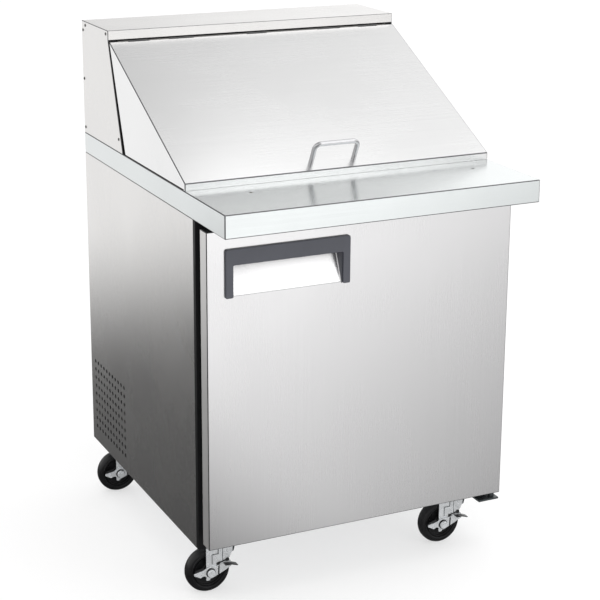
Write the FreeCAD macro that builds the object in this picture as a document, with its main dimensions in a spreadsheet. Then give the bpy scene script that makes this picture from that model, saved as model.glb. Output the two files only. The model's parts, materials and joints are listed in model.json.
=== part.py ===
import FreeCAD, Part
import math
import os
import Sketcher

# A one-door refrigerated sandwich prep table on four swivel casters.
# Frame: +X to the right, -Y to the front (the cook's side), +Z up.
# The origin is on the floor, under the middle of the table.

doc = FreeCAD.newDocument("sandwich_prep_table")
sheet = doc.addObject("Spreadsheet::Sheet", "dims")

# Driving dimensions in millimetres. A setback is measured back from the front edge of the worktop,
# a rise is measured up from the worktop, and an inset is measured in from an outer face.
DRIVING = {
    "table_width": 734,
    "table_depth": 864,
    "work_height": 914,
    "slab_thick": 50,
    "caster_height": 125,
    "sheet_gauge": 1.2,
    "fold_radius": 2.5,
    # cabinet
    "door_setback": 105,
    "door_thick": 36,
    "gasket_thick": 17,
    "breaker_thick": 12,
    "wall_thick": 38,
    "floor_thick": 40,
    "base_gauge": 2,
    "liner_gauge": 1,
    "header_height": 50,
    "machine_depth": 264,
    "machine_top": 400,
    "vent_column_pitch": 20.8,
    "vent_row_pitch": 21.6,
    "vent_columns": 11,
    "vent_rows": 9,
    "vent_hole": 10,
    "vent_rear_inset": 32,
    "vent_bottom": 166,
    "grille_slots": 11,
    "grille_slot_rise": 9,
    "grille_slot_pitch": 20,
    "grille_bottom": 45,
    "grille_side_margin": 60,
    "board_hole": 7,
    "board_hole_setback": 150,
    "board_hole_left": 244.667,
    "board_hole_right": 289.196,
    # pan well
    "well_setback": 246,
    "well_length": 552,
    "well_depth": 50,
    "well_wall": 1.5,
    "ledge_drop": 30,
    "ledge_reach": 14,
    "ledge_gauge": 2,
    "divider_width": 16,
    "divider_height": 22,
    "pan_long": 176,
    "pan_wide": 162,
    "pan_depth": 100,
    "pan_rim": 9,
    "pan_wall": 1.2,
    "pan_columns": 4,
    "pan_rows": 3,
    "pan_row_gap": 3,
    "pan_column_gap": 1.6,
    # hood and lid
    "hood_rise": 270,
    "hood_top_depth": 187,
    "hood_base_setback": 594.5,
    "hood_wall": 20,
    "hood_strip_gap": 5,
    "hinge_setback": 672,
    "hinge_rise": 243,
    "hinge_rod": 6,
    "barrel_wall": 3,
    "hood_screw": 7.2,
    "hood_screw_proud": 1.6,
    "hood_screw_edge": 9,
    "lid_setback": 214,
    "lid_nose_rise": 13.5,
    "lid_gap": 2,
    "lid_cheek_setback": 579,
    "lid_wall": 20,
    "lid_side_inset": 1,
    "lid_handle_width": 103,
    "lid_handle_height": 51,
    "lid_handle_rod": 11,
    "lid_handle_up": 26,
    "lid_handle_left": 14,
    "lid_handle_bend": 13,
    "lid_handle_foot": 14,
    # door
    "door_side_gap": 3,
    "door_top_gap": 12,
    "door_bottom_gap": 20,
    "pull_width": 287,
    "pull_height": 105,
    "pull_inset": 40.5,
    "pull_bar": 35,
    "pull_leg": 17,
    "pull_depth": 25,
    "pull_drop": 40,
    "pull_proud": 6,
    "pull_cheek": 2,
    "gasket_lip": 16,
    "door_pivot_inset": 17,
    "door_pivot_setback": 120,
    "hinge_pin": 8,
    "hinge_collar": 14,
    "hinge_leaf": 4,
    # inside
    "shelf_rise": 30,
    "pilaster_width": 20,
    "shelf_rail": 6,
    "shelf_wire": 5,
    "shelf_wires": 25,
    "coil_gauge": 1.5,
    "coil_fin": 0.5,
    "coil_tube": 9,
    "fan_hub": 32,
    "motor_can": 40,
    "compressor_can": 136,
    # casters
    "wheel_diameter": 102,
    "wheel_width": 30,
    "caster_trail": 34,
    "caster_side_inset": 72,
    "caster_front_setback": 206,
    "caster_rear_setback": 800,
    "axle_bolt": 10,
    "running_gap": 0.05,
}


def fill_sheet():
    """Write each driving dimension as a number with its own alias."""
    for row, (alias, value) in enumerate(DRIVING.items(), start=1):
        sheet.set(f"A{row}", alias)
        sheet.set(f"B{row}", str(value))
        sheet.setAlias(f"B{row}", alias)
    doc.recompute()


class Size:
    """A length bound to the sheet: the expression that gives it, and its value."""

    def __init__(self, text, value):
        self.text = text
        self.value = value

    def __add__(self, other):
        other = as_size(other)
        return Size(f"({self.text} + {other.text})", self.value + other.value)

    def __sub__(self, other):
        other = as_size(other)
        return Size(f"({self.text} - {other.text})", self.value - other.value)

    def __mul__(self, other):
        other = as_size(other)
        return Size(f"({self.text} * {other.text})", self.value * other.value)

    def __truediv__(self, other):
        other = as_size(other)
        return Size(f"({self.text} / {other.text})", self.value / other.value)

    def __radd__(self, other):
        return as_size(other) + self

    def __rsub__(self, other):
        return as_size(other) - self

    def __neg__(self):
        return Size(f"(0 - {self.text})", -self.value)


def as_size(amount):
    return amount if isinstance(amount, Size) else Size(repr(float(amount)), float(amount))


def dim(alias):
    return Size(f"dims.{alias}", float(DRIVING[alias]))


fill_sheet()


# ---------------------------------------------------------------- building helpers

def bind(thing, **amounts):
    for prop, amount in amounts.items():
        thing.setExpression(prop, as_size(amount).text)


def move_to(thing, x=0, y=0, z=0):
    """Bind the place of an object to expressions."""
    for letter, amount in (("x", x), ("y", y), ("z", z)):
        thing.setExpression(f"Placement.Base.{letter}", as_size(amount).text)
    return thing


def turn(thing, axis, degrees):
    rotation = FreeCAD.Rotation(FreeCAD.Vector(*axis), degrees)
    thing.Placement = FreeCAD.Placement(FreeCAD.Vector(0, 0, 0), rotation)
    return thing


def block(name, x, y, z):
    """A box that fills the spans x, y and z, each given as (low, high)."""
    made = doc.addObject("Part::Box", name)
    spans = [(as_size(low), as_size(high)) for low, high in (x, y, z)]
    bind(made, Length=spans[0][1] - spans[0][0], Width=spans[1][1] - spans[1][0],
         Height=spans[2][1] - spans[2][0])
    return move_to(made, spans[0][0], spans[1][0], spans[2][0])


def rod(name, radius, length, x, y, z, axis="z"):
    """A cylinder that starts at (x, y, z) and runs along +X, +Y or +Z."""
    made = doc.addObject("Part::Cylinder", name)
    bind(made, Radius=radius, Height=length)
    if axis == "x":
        turn(made, (0, 1, 0), 90)
    if axis == "y":
        turn(made, (1, 0, 0), -90)
    return move_to(made, x, y, z)


def fuse(name, *pieces):
    made = doc.addObject("Part::MultiFuse", name)
    made.Shapes = list(pieces)
    made.Refine = True
    return made


def cut(name, base, *tools):
    made = doc.addObject("Part::Cut", name)
    made.Base = base
    made.Tool = tools[0] if len(tools) == 1 else fuse(name + "_tools", *tools)
    made.Refine = True
    return made


def group(name, pieces):
    """Separate solids that share one node."""
    made = doc.addObject("Part::Compound", name)
    made.Links = list(pieces)
    return made


def mirrored(name, source):
    """The same piece on the other side of the table's middle plane."""
    made = doc.addObject("Part::Mirroring", name)
    made.Source = source
    made.Normal = FreeCAD.Vector(1, 0, 0)
    return made


def box_shell(name, x, y, z, wall, open_side):
    """A thin box with one open side: 'front', 'rear', 'top' or 'bottom'."""
    outer = block(name + "_outer", x, y, z)
    inner_x = (x[0] + wall, x[1] - wall)
    inner_y = (y[0] - (1 if open_side == "front" else -wall), y[1] + (1 if open_side == "rear" else -wall))
    inner_z = (z[0] - (1 if open_side == "bottom" else -wall), z[1] + (1 if open_side == "top" else -wall))
    return cut(name, outer, block(name + "_inner", inner_x, inner_y, inner_z))


PLANES = {"yz": "YZ_Plane", "xz": "XZ_Plane", "xy": "XY_Plane"}


def origin_plane(body, plane):
    for feature in body.Origin.OriginFeatures:
        if feature.Role == PLANES[plane]:
            return feature


def outline(body, name, plane, start, points):
    """A closed sketch through the points, each coordinate held by a bound constraint."""
    sketch = body.newObject("Sketcher::SketchObject", name)
    sketch.AttachmentSupport = [(origin_plane(body, plane), "")]
    sketch.MapMode = "FlatFace"
    sketch.setExpression("AttachmentOffset.Base.z", as_size(start).text)
    corners = [(as_size(across), as_size(up)) for across, up in points]
    places = [FreeCAD.Vector(across.value, up.value, 0) for across, up in corners]
    for index, place in enumerate(places):
        sketch.addGeometry(Part.LineSegment(place, places[(index + 1) % len(places)]), False)
    for index in range(len(places)):
        joined = ("Coincident", index, 2, (index + 1) % len(places), 1)
        sketch.addConstraint(Sketcher.Constraint(*joined))
    for index, (across, up) in enumerate(corners):
        for kind, amount in (("DistanceX", across), ("DistanceY", up)):
            held = sketch.addConstraint(Sketcher.Constraint(kind, -1, 1, index, 1, amount.value))
            sketch.setExpression(f"Constraints[{held}]", amount.text)
    return sketch


def prism(name, plane, points, span, rounding=None, rounded_corners=()):
    """A body padded from an outline: along +X on 'yz', along +Z on 'xy', between the two Y values on 'xz'.

    rounded_corners lists the outline corners whose long edges are rounded."""
    body = doc.addObject("PartDesign::Body", name)
    low, high = (as_size(end) for end in span)
    start = -high if plane == "xz" else low
    sketch = outline(body, name + "_outline", plane, start, points)
    pad = body.newObject("PartDesign::Pad", name + "_pad")
    pad.Profile = sketch
    bind(pad, Length=high - low)
    if rounding is None:
        return body
    doc.recompute()
    fillet = body.newObject("PartDesign::Fillet", name + "_fold")
    fillet.Base = (pad, long_edges(pad.Shape, plane, [points[corner] for corner in rounded_corners]))
    bind(fillet, Radius=rounding)
    body.Tip = fillet
    return body


def long_edges(shape, plane, corners):
    """Names of the edges that run along the pad, at the given outline corners."""
    picks = {"yz": (1, 2), "xz": (0, 2), "xy": (0, 1)}[plane]
    along = ({0, 1, 2} - set(picks)).pop()
    found = []
    for number, edge in enumerate(shape.Edges, start=1):
        first, last = edge.Vertexes[0].Point, edge.Vertexes[-1].Point
        if abs(first[along] - last[along]) < 1:
            continue
        for across, up in corners:
            aside = first[picks[0]] - as_size(across).value
            above = first[picks[1]] - as_size(up).value
            if math.hypot(aside, above) < 0.01:
                found.append(f"Edge{number}")
    return found


NODES = {}


def node(made, label):
    """Name a finished sub-part: the label is also its file's name."""
    made.Label = label
    NODES[label] = made
    return made


# ---------------------------------------------------------------- shared levels and lines

half_width = dim("table_width") / 2
front = -dim("table_depth") / 2
rear = dim("table_depth") / 2
gauge = dim("sheet_gauge")
fold = dim("fold_radius")
work = dim("work_height")
slab_under = work - dim("slab_thick")
cabinet_bottom = dim("caster_height")


def back_from_edge(setback):
    """The Y of a line that lies so far behind the worktop's front edge."""
    return front + setback


door_front = back_from_edge(dim("door_setback"))
door_rear = door_front + dim("door_thick")
breaker_front = door_rear + dim("gasket_thick")
cabinet_front = breaker_front + dim("breaker_thick")
inner_half = half_width - dim("wall_thick")
floor_top = cabinet_bottom + dim("floor_thick")
opening_top = slab_under - dim("header_height")
machine_front = rear - dim("machine_depth")
step_front = machine_front - dim("wall_thick")
step_top = dim("machine_top") + dim("wall_thick")
well_front = back_from_edge(dim("well_setback"))
well_rear = well_front + dim("well_length")
hinge_y = back_from_edge(dim("hinge_setback"))
hinge_z = work + dim("hinge_rise")
hood_top = work + dim("hood_rise")
hood_front = rear - dim("hood_top_depth")
hood_base = back_from_edge(dim("hood_base_setback"))


def rectangle(across_span, up_span):
    """The corners of a rectangle, from two spans."""
    (left, right), (low, high) = across_span, up_span
    return [(left, low), (right, low), (right, high), (left, high)]


def across(half):
    """A span of equal reach to both sides of the middle plane."""
    return (-as_size(half), as_size(half))


# ---------------------------------------------------------------- cabinet

def side_panels():
    """Outer sheet of each side, with the machine room's grid of vent holes."""
    body = doc.addObject("PartDesign::Body", "side_sheet")
    corners = rectangle((cabinet_front, rear), (cabinet_bottom, slab_under))
    sheet_outline = outline(body, "side_sheet_outline", "yz", -half_width, corners)
    pad = body.newObject("PartDesign::Pad", "side_sheet_pad")
    pad.Profile = sheet_outline
    bind(pad, Length=gauge)
    doc.recompute()
    first_hole = body.newObject("Sketcher::SketchObject", "vent_hole_outline")
    first_hole.AttachmentSupport = [(origin_plane(body, "yz"), "")]
    first_hole.MapMode = "FlatFace"
    first_hole.setExpression("AttachmentOffset.Base.z", (-half_width - 1).text)
    columns_reach = dim("vent_column_pitch") * (dim("vent_columns") - 1)
    hole_y = rear - dim("vent_rear_inset") - columns_reach
    hole_z = dim("vent_bottom")
    centre = FreeCAD.Vector(hole_y.value, hole_z.value, 0)
    first_hole.addGeometry(Part.Circle(centre, FreeCAD.Vector(0, 0, 1), dim("vent_hole").value / 2), False)
    for kind, amount in (("DistanceX", hole_y), ("DistanceY", hole_z)):
        held = first_hole.addConstraint(Sketcher.Constraint(kind, -1, 1, 0, 3, amount.value))
        first_hole.setExpression(f"Constraints[{held}]", amount.text)
    held = first_hole.addConstraint(Sketcher.Constraint("Diameter", 0, dim("vent_hole").value))
    first_hole.setExpression(f"Constraints[{held}]", dim("vent_hole").text)
    doc.recompute()
    before = pad.Shape.Volume
    pocket = body.newObject("PartDesign::Pocket", "vent_hole_cut")
    pocket.Profile = first_hole
    pocket.Reversed = True
    bind(pocket, Length=gauge + 2)
    doc.recompute()
    if pocket.Shape.Volume >= before:
        raise RuntimeError("the vent hole cuts nothing")
    grid = body.newObject("PartDesign::MultiTransform", "vent_grid")
    grid.Originals = [pocket]
    steps = []
    for name, axis in (("vent_column", "H_Axis"), ("vent_row", "V_Axis")):
        line = body.newObject("PartDesign::LinearPattern", name)
        line.Direction = (first_hole, [axis])
        count = dim(name + "s")
        bind(line, Length=dim(name + "_pitch") * (count - 1), Occurrences=count)
        steps.append(line)
    grid.Transformations = steps
    body.Tip = grid
    node(body, "side_panel_left")
    node(mirrored("side_sheet_other", body), "side_panel_right")


def cabinet_panels():
    """Base sheet, rear sheet and the louvred grille of the machine room."""
    inside = half_width - gauge
    base_top = cabinet_bottom + dim("base_gauge")
    sheet_y = (rear - gauge, rear)
    rear_low = dim("machine_top")
    node(block("base_sheet", across(inside), (cabinet_front, rear), (cabinet_bottom, base_top)), "base_panel")
    node(block("rear_sheet", across(inside), sheet_y, (rear_low, slab_under)), "back_panel")
    plate = block("grille_plate", across(inside), sheet_y, (base_top, rear_low))
    slot_x = across(inside - dim("grille_side_margin"))
    slot_y = (rear - gauge - 1, rear + 1)
    slots = []
    for index in range(DRIVING["grille_slots"]):
        low = cabinet_bottom + dim("grille_bottom") + dim("grille_slot_pitch") * index
        slots.append(block(f"grille_slot_{index}", slot_x, slot_y, (low, low + dim("grille_slot_rise"))))
    node(cut("grille", plate, *slots), "machine_grille")


def cabinet_cavity(name, shrink):
    """The food space: a front bay under the header and a rear bay above the machine room's step."""
    reach = across(inner_half - shrink)
    floor, step, ceiling = floor_top + shrink, step_top + shrink, slab_under + 1
    front_y = (cabinet_front - 1, well_front)
    middle_y = (well_front, step_front - shrink)
    rear_y = (step_front - shrink, well_rear - shrink)
    front_bay = block(name + "_front_bay", reach, front_y, (floor, opening_top - shrink))
    middle_bay = block(name + "_middle_bay", reach, middle_y, (floor, ceiling))
    rear_bay = block(name + "_rear_bay", reach, rear_y, (step, ceiling))
    return fuse(name, front_bay, middle_bay, rear_bay)


def cabinet_walls():
    """Foam between the outer sheets and the liner, the liner itself, and the black front frame."""
    body_z = (cabinet_bottom + dim("base_gauge"), slab_under)
    foam = block("foam_block", across(half_width - gauge), (cabinet_front, rear - gauge), body_z)
    room_z = (cabinet_bottom, dim("machine_top"))
    room = block("machine_room", across(half_width), (machine_front, rear), room_z)
    node(cut("foam_walls", foam, cabinet_cavity("food_space", as_size(0)), room), "cabinet_insulation")
    liner_stock = fuse("liner_stock", *liner_blocks())
    node(cut("liner_skin", liner_stock, cabinet_cavity("liner_space", dim("liner_gauge"))), "cabinet_liner")
    ring_z = (cabinet_bottom, slab_under)
    ring = block("frame_ring", across(half_width), (breaker_front, cabinet_front), ring_z)
    hole_y = (breaker_front - 1, cabinet_front + 1)
    hole = block("frame_hole", across(inner_half), hole_y, (floor_top, opening_top))
    node(cut("frame_cut", ring, hole), "front_frame")


def liner_blocks():
    """The liner's outer form, flush with the foam's inner faces."""
    reach = across(inner_half)
    return (
        block("liner_front", reach, (cabinet_front, well_front), (floor_top, opening_top)),
        block("liner_middle", reach, (well_front, step_front), (floor_top, slab_under)),
        block("liner_rear", reach, (step_front, well_rear), (step_top, slab_under)),
    )


# ---------------------------------------------------------------- worktop and pan well

def board_holes(name):
    """Two short bores near the worktop's front edge, for the pins under a cutting board."""
    bore_y = back_from_edge(dim("board_hole_setback"))
    radius = dim("board_hole") / 2
    places = {"left": -dim("board_hole_left"), "right": dim("board_hole_right")}
    return [rod(f"{name}_{side}", radius, 6, x, bore_y, work - 5) for side, x in places.items()]


def worktop():
    """A folded stainless top around a core board, both open for the pan well."""
    outer_points = rectangle((front, rear), (slab_under, work))
    outer = prism("top_outer", "yz", outer_points, across(half_width), fold, (2, 3))
    core_z = (slab_under + gauge, work - gauge)
    core_span = (across(half_width - gauge), (front + gauge, rear - gauge), core_z)
    well_span = (across(inner_half), (well_front, well_rear), (slab_under - 2, work + 1))
    inner = block("top_inner", *core_span)
    well = block("top_well", *well_span)
    node(cut("top_sheet", outer, inner, well, *board_holes("board_hole")), "worktop_skin")
    core = block("core_block", *core_span)
    core_well = block("core_well", *well_span)
    node(cut("core_board", core, core_well, *board_holes("core_hole")), "worktop_core")


def pan_well():
    """The frame that lines the well, its ledges and the two bars between the pan rows."""
    well_bottom = work - dim("well_depth")
    wall = dim("well_wall")
    ring = block("well_ring", across(inner_half), (well_front, well_rear), (well_bottom, work))
    hole_y = (well_front + wall, well_rear - wall)
    hole = block("well_hole", across(inner_half - wall), hole_y, (well_bottom - 1, work + 1))
    ledge_top = work - dim("ledge_drop")
    ledge_z = (ledge_top - dim("ledge_gauge"), ledge_top)
    reach = wall + dim("ledge_reach")
    front_ledge = block("front_ledge", across(inner_half - 1), (well_front + 1, well_front + reach), ledge_z)
    rear_ledge = block("rear_ledge", across(inner_half - 1), (well_rear - reach, well_rear - 1), ledge_z)
    node(fuse("well_frame", cut("well_walls", ring, hole), front_ledge, rear_ledge), "pan_well_frame")
    bars = []
    bar_half = dim("divider_width") / 2
    bar_z = (ledge_top - dim("divider_height"), ledge_top)
    for index in range(DRIVING["pan_rows"] - 1):
        middle = row_front(index + 1) - dim("pan_row_gap") / 2
        bar_y = (middle - bar_half, middle + bar_half)
        bars.append(block(f"divider_{index}", across(inner_half - wall), bar_y, bar_z))
    node(group("divider_bars", bars), "pan_divider_bars")


def row_front(row):
    """The front edge of a row of pans."""
    pitch = dim("pan_long") + dim("pan_row_gap")
    rows_length = pitch * dim("pan_rows") - dim("pan_row_gap")
    return (well_front + well_rear) / 2 - rows_length / 2 + pitch * row


def pans():
    """Twelve sixth-size pans: a flat rim and a plain-walled tub, each a separate solid."""
    pitch = dim("pan_wide") + dim("pan_column_gap")
    first_x = -pitch * dim("pan_columns") / 2 + dim("pan_column_gap") / 2
    tubs = []
    for row in range(DRIVING["pan_rows"]):
        for column in range(DRIVING["pan_columns"]):
            tubs.append(pan(f"pan_{row}_{column}", first_x + pitch * column, row_front(row)))
    node(group("pan_set", tubs), "food_pans")


def pan(name, x, y):
    """One pan, from the left front corner of its rim."""
    rim_z = work - dim("ledge_drop")
    floor_z = rim_z - dim("pan_depth")
    lip, wall = dim("pan_rim"), dim("pan_wall")
    right, back = x + dim("pan_wide"), y + dim("pan_long")
    rim = block(name + "_rim", (x, right), (y, back), (rim_z, rim_z + wall))
    tub = block(name + "_tub", (x + lip, right - lip), (y + lip, back - lip), (floor_z, rim_z + 0.5))
    inset = lip + wall
    space_y = (y + inset, back - inset)
    space = block(name + "_space", (x + inset, right - inset), space_y, (floor_z + wall, rim_z + 5))
    return cut(name, fuse(name + "_stock", rim, tub), space)


# ---------------------------------------------------------------- hood

strip_low = hinge_z + dim("hood_strip_gap")
hood_wall = dim("hood_wall")
HOOD_KNUCKLES = (-295, 0, 295)
LID_KNUCKLES = (-190, 190)
HOOD_KNUCKLE_HALF = 25
LID_KNUCKLE_HALF = 30


def hood_side_outline(inset, drop):
    """A side wall's outline, drawn in by an even amount, with its foot dropped below the worktop."""
    lean_top = hinge_z + 2
    lean = (hood_front - hood_base) / (lean_top - work)
    edge_inset = inset * 1.1
    foot = work - drop
    return [
        (hood_base + edge_inset - lean * drop, foot), (rear - inset, foot),
        (rear - inset, hood_top - inset), (hood_front + inset, hood_top - inset),
        (hood_front + edge_inset, lean_top),
    ]


def hood_panel_outline(inset, drop):
    """The back, top and front strip in one bent wall, drawn in by an even amount, with its foot dropped."""
    foot = work - drop
    back_inner = rear - hood_wall + inset
    strip_inner = hood_front + hood_wall - inset
    ceiling = hood_top - hood_wall + inset
    return [
        (rear - inset, foot), (rear - inset, hood_top - inset), (hood_front + inset, hood_top - inset),
        (hood_front + inset, strip_low + inset), (strip_inner, strip_low + inset), (strip_inner, ceiling),
        (back_inner, ceiling), (back_inner, foot),
    ]


def hood_sides():
    """Hollow side walls of folded sheet, open at the foot."""
    outer_x = (-half_width, hood_wall - half_width)
    inner_x = (gauge - half_width, hood_wall - half_width - gauge)
    outer = prism("hood_side_outer", "yz", hood_side_outline(as_size(0), as_size(0)), outer_x, 1.5, (3,))
    space = prism("hood_side_space", "yz", hood_side_outline(gauge, as_size(1)), inner_x)
    left = cut("hood_side", outer, space)
    node(group("hood_side_pair", [left, mirrored("hood_side_other", left)]), "hood_sides")


def knuckles(name, middles, half_length):
    """Rolled hinge barrels around the hinge rod, without their bores."""
    radius = dim("hinge_rod") / 2 + dim("barrel_wall")
    length = as_size(half_length) * 2
    barrels = []
    for index, middle in enumerate(middles):
        barrels.append(rod(f"{name}_{index}", radius, length, middle - half_length, hinge_y, hinge_z, "x"))
    return barrels


def hinge_bore(name):
    radius = dim("hinge_rod") / 2 + dim("running_gap")
    return rod(name, radius, half_width * 2, -half_width, hinge_y, hinge_z, "x")


def hood_cover():
    """Top, back and front strip in one folded hollow panel, with hinge barrels under the strip."""
    reach = across(half_width - hood_wall)
    outer = prism("hood_panel_outer", "yz", hood_panel_outline(as_size(0), as_size(0)), reach, 1.5, (1, 2))
    space = prism("hood_panel_space", "yz", hood_panel_outline(gauge, as_size(1)), across(half_width))
    panel = cut("hood_panel", outer, space)
    barrels = knuckles("hood_barrel", HOOD_KNUCKLES, HOOD_KNUCKLE_HALF)
    web_y = (hinge_y, hood_front + gauge)
    web_z = (hinge_z, strip_low + gauge)
    webs = []
    for index, middle in enumerate(HOOD_KNUCKLES):
        web_x = (middle - HOOD_KNUCKLE_HALF, middle + HOOD_KNUCKLE_HALF)
        webs.append(block(f"hood_web_{index}", web_x, web_y, web_z))
    fused = fuse("hood_cover_fused", panel, *barrels, *webs)
    node(cut("hood_cover_bored", fused, hinge_bore("hood_bore")), "hood_cover")
    rod_half = half_width - hood_wall - 2
    pin = rod("hinge_rod_pin", dim("hinge_rod") / 2, rod_half * 2, -rod_half, hinge_y, hinge_z, "x")
    node(pin, "lid_hinge_rod")


def hood_foam():
    """The foam that fills the hood's panel and both side walls."""
    panel_view = hood_panel_outline(gauge, as_size(0))
    panel = prism("hood_panel_foam", "yz", panel_view, across(half_width - hood_wall))
    side_x = (gauge - half_width, hood_wall - half_width - gauge)
    left = prism("hood_side_foam", "yz", hood_side_outline(gauge, as_size(0)), side_x)
    right = mirrored("hood_side_foam_other", left)
    node(group("hood_foam_set", [panel, left, right]), "hood_insulation")


def hood_screws():
    """Six pan-head screws on each side of the hood."""
    edge = dim("hood_screw_edge")
    radius, proud = dim("hood_screw") / 2, dim("hood_screw_proud")
    places = [
        (rear - edge, hood_top - 22), (rear - edge, hood_top - 138), (rear - edge, work + 14),
        (rear - 26, hood_top - edge), (hood_front + 15, hood_top - edge), (hood_base + 24, work + 30),
    ]
    screws = []
    for index, (y, z) in enumerate(places):
        for side, x in (("left", -half_width - proud), ("right", half_width)):
            screws.append(rod(f"screw_{side}_{index}", radius, proud, x, y, z, "x"))
    node(group("hood_screw_set", screws), "hood_screws")


# ---------------------------------------------------------------- lid

slope_run = as_size(hinge_y.value - back_from_edge(dim("lid_setback")).value)
slope_rise = as_size((hinge_z - work - dim("lid_nose_rise")).value)
slope = math.atan2(slope_rise.value, slope_run.value)
slope_text = "atan2(dims.hinge_rise - dims.lid_nose_rise; dims.hinge_setback - dims.lid_setback)"
slope_cos = Size(f"cos({slope_text})", math.cos(slope))
slope_sin = Size(f"sin({slope_text})", math.sin(slope))
skin_above_axis = as_size(2)


def lid_point(along, below):
    """A point in the lid's side view: along the slope from the hinge axis, below the top surface."""
    lift = skin_above_axis - below
    y = hinge_y - slope_cos * along - slope_sin * lift
    z = hinge_z - slope_sin * along + slope_cos * lift
    return (y, z)


def lid_outline(inset):
    """The lid's closed side outline, drawn in by an even amount except at its open underside and rear."""
    nose = back_from_edge(dim("lid_setback"))
    cheek = back_from_edge(dim("lid_cheek_setback"))
    low = work + dim("lid_gap")
    slope_length = (hinge_y - nose) / slope_cos
    top_rear = lid_point(as_size(0), inset)
    nose_top = lid_point(slope_length - skin_above_axis * 0.5 - inset * 1.25, inset)
    return [top_rear, (nose + inset, nose_top[1]), (nose + inset, low), (cheek, low)]


def opened(points):
    """The same outline run out past the lid's open underside and rear, to cut with."""
    top_rear, nose_top, nose_low, cheek = points
    clear = 30
    beyond = (top_rear[0] + clear, top_rear[1] + clear * math.tan(slope))
    return [beyond, nose_top, (nose_low[0], nose_low[1] - clear), (cheek[0] + clear, cheek[1] - clear)]


def lid():
    """Outer shell, foam core and inner liner of the sloping lid, all hollow above the pans."""
    side, wall = dim("lid_side_inset"), dim("lid_wall")
    lid_half = half_width - side
    outer = prism("lid_outer", "yz", lid_outline(as_size(0)), across(lid_half), 2, (0, 1))
    shell_space = prism("lid_shell_space", "yz", opened(lid_outline(gauge)), across(lid_half - gauge))
    shell = cut("lid_shell_open", outer, shell_space, axis_gap("shell", 8, half_width - wall - 1))
    barrels = knuckles("lid_barrel", LID_KNUCKLES, LID_KNUCKLE_HALF)
    fused = fuse("lid_shell_fused", shell, *barrels, *lid_webs())
    holes = lid_handle_holes("shell_hole")
    node(cut("lid_shell_bored", fused, hinge_bore("lid_bore"), *holes), "lid_shell")
    core_stock = prism("lid_core_stock", "yz", lid_outline(gauge), across(lid_half - gauge))
    core_space = prism("lid_core_space", "yz", opened(lid_outline(wall)), across(lid_half - wall))
    core_holes = lid_handle_holes("core_foot_hole")
    core_gap = axis_gap("core", 10, half_width - wall)
    node(cut("lid_core_open", core_stock, core_space, core_gap, *core_holes), "lid_core")
    thin = wall + dim("liner_gauge")
    liner_stock = prism("lid_liner_stock", "yz", lid_outline(wall), across(lid_half - wall))
    liner_space = prism("lid_liner_space", "yz", opened(lid_outline(thin)), across(lid_half - thin))
    node(cut("lid_liner_open", liner_stock, liner_space, axis_gap("liner", 12, half_width)), "lid_liner")


def axis_gap(name, radius, half):
    """Room around the hinge axis for the barrels that belong to the hood."""
    return rod(f"lid_{name}_gap", radius, half * 2, -half, hinge_y, hinge_z, "x")


def lid_webs():
    """The tongue that joins each of the lid's barrels to its skin."""
    ends = ((0, 1), (0, 0.2), (14, 0.2), (14, 1))
    view = [lid_point(as_size(along), as_size(below)) for along, below in ends]
    webs = []
    for index, middle in enumerate(LID_KNUCKLES):
        web_x = (middle - LID_KNUCKLE_HALF, middle + LID_KNUCKLE_HALF)
        webs.append(prism(f"lid_web_{index}", "yz", view, web_x))
    return webs


def lid_handle_along():
    """How far down the slope from the hinge axis the handle stands."""
    nose_y = back_from_edge(dim("lid_setback"))
    return (hinge_y - nose_y) / slope_cos - dim("lid_handle_up")


def lid_handle_holes(name):
    """Two cylinders square to the slope where the handle's feet go through the lid."""
    length = dim("lid_wall") + 4
    foot = lid_point(lid_handle_along(), length)
    radius = dim("lid_handle_rod") / 2 + dim("running_gap")
    reach = dim("lid_handle_width") / 2
    holes = []
    for side, x in (("left", -reach), ("right", reach)):
        hole = rod(f"{name}_{side}", radius, length + 2, x - dim("lid_handle_left"), foot[0], foot[1])
        hole.Placement.Rotation = FreeCAD.Rotation(FreeCAD.Vector(1, 0, 0), math.degrees(slope))
        holes.append(hole)
    return holes


def handle_path(body, half, top, low, bend):
    """The handle's centre line: a left leg, a bend, the grip bar, a bend and a right leg."""
    path = body.newObject("Sketcher::SketchObject", "handle_path")
    path.AttachmentSupport = [(origin_plane(body, "xz"), "")]
    path.MapMode = "FlatFace"
    at = FreeCAD.Vector
    w, up, down, r = half.value, top.value, low.value, bend.value
    quarter = math.pi / 2
    left_bend = Part.Circle(at(-w + r, up - r, 0), at(0, 0, 1), r)
    right_bend = Part.Circle(at(w - r, up - r, 0), at(0, 0, 1), r)
    path.addGeometry(Part.LineSegment(at(-w, down, 0), at(-w, up - r, 0)), False)
    path.addGeometry(Part.ArcOfCircle(left_bend, quarter, math.pi), False)
    path.addGeometry(Part.LineSegment(at(-w + r, up, 0), at(w - r, up, 0)), False)
    path.addGeometry(Part.ArcOfCircle(right_bend, 0, quarter), False)
    path.addGeometry(Part.LineSegment(at(w, up - r, 0), at(w, down, 0)), False)
    for joined in ((0, 2, 1, 2), (1, 1, 2, 1), (2, 2, 3, 2), (3, 1, 4, 1)):
        path.addConstraint(Sketcher.Constraint("Tangent", *joined))
    for line, kind in ((0, "Vertical"), (2, "Horizontal"), (4, "Vertical")):
        path.addConstraint(Sketcher.Constraint(kind, line))
    path_dimension(path, bend, "Radius", 1)
    path_dimension(path, bend, "Radius", 3)
    path_dimension(path, -half, "DistanceX", -1, 1, 0, 1)
    path_dimension(path, half, "DistanceX", -1, 1, 4, 2)
    path_dimension(path, low, "DistanceY", -1, 1, 0, 1)
    path_dimension(path, low, "DistanceY", -1, 1, 4, 2)
    path_dimension(path, top, "DistanceY", -1, 1, 2, 1)
    return path


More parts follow.
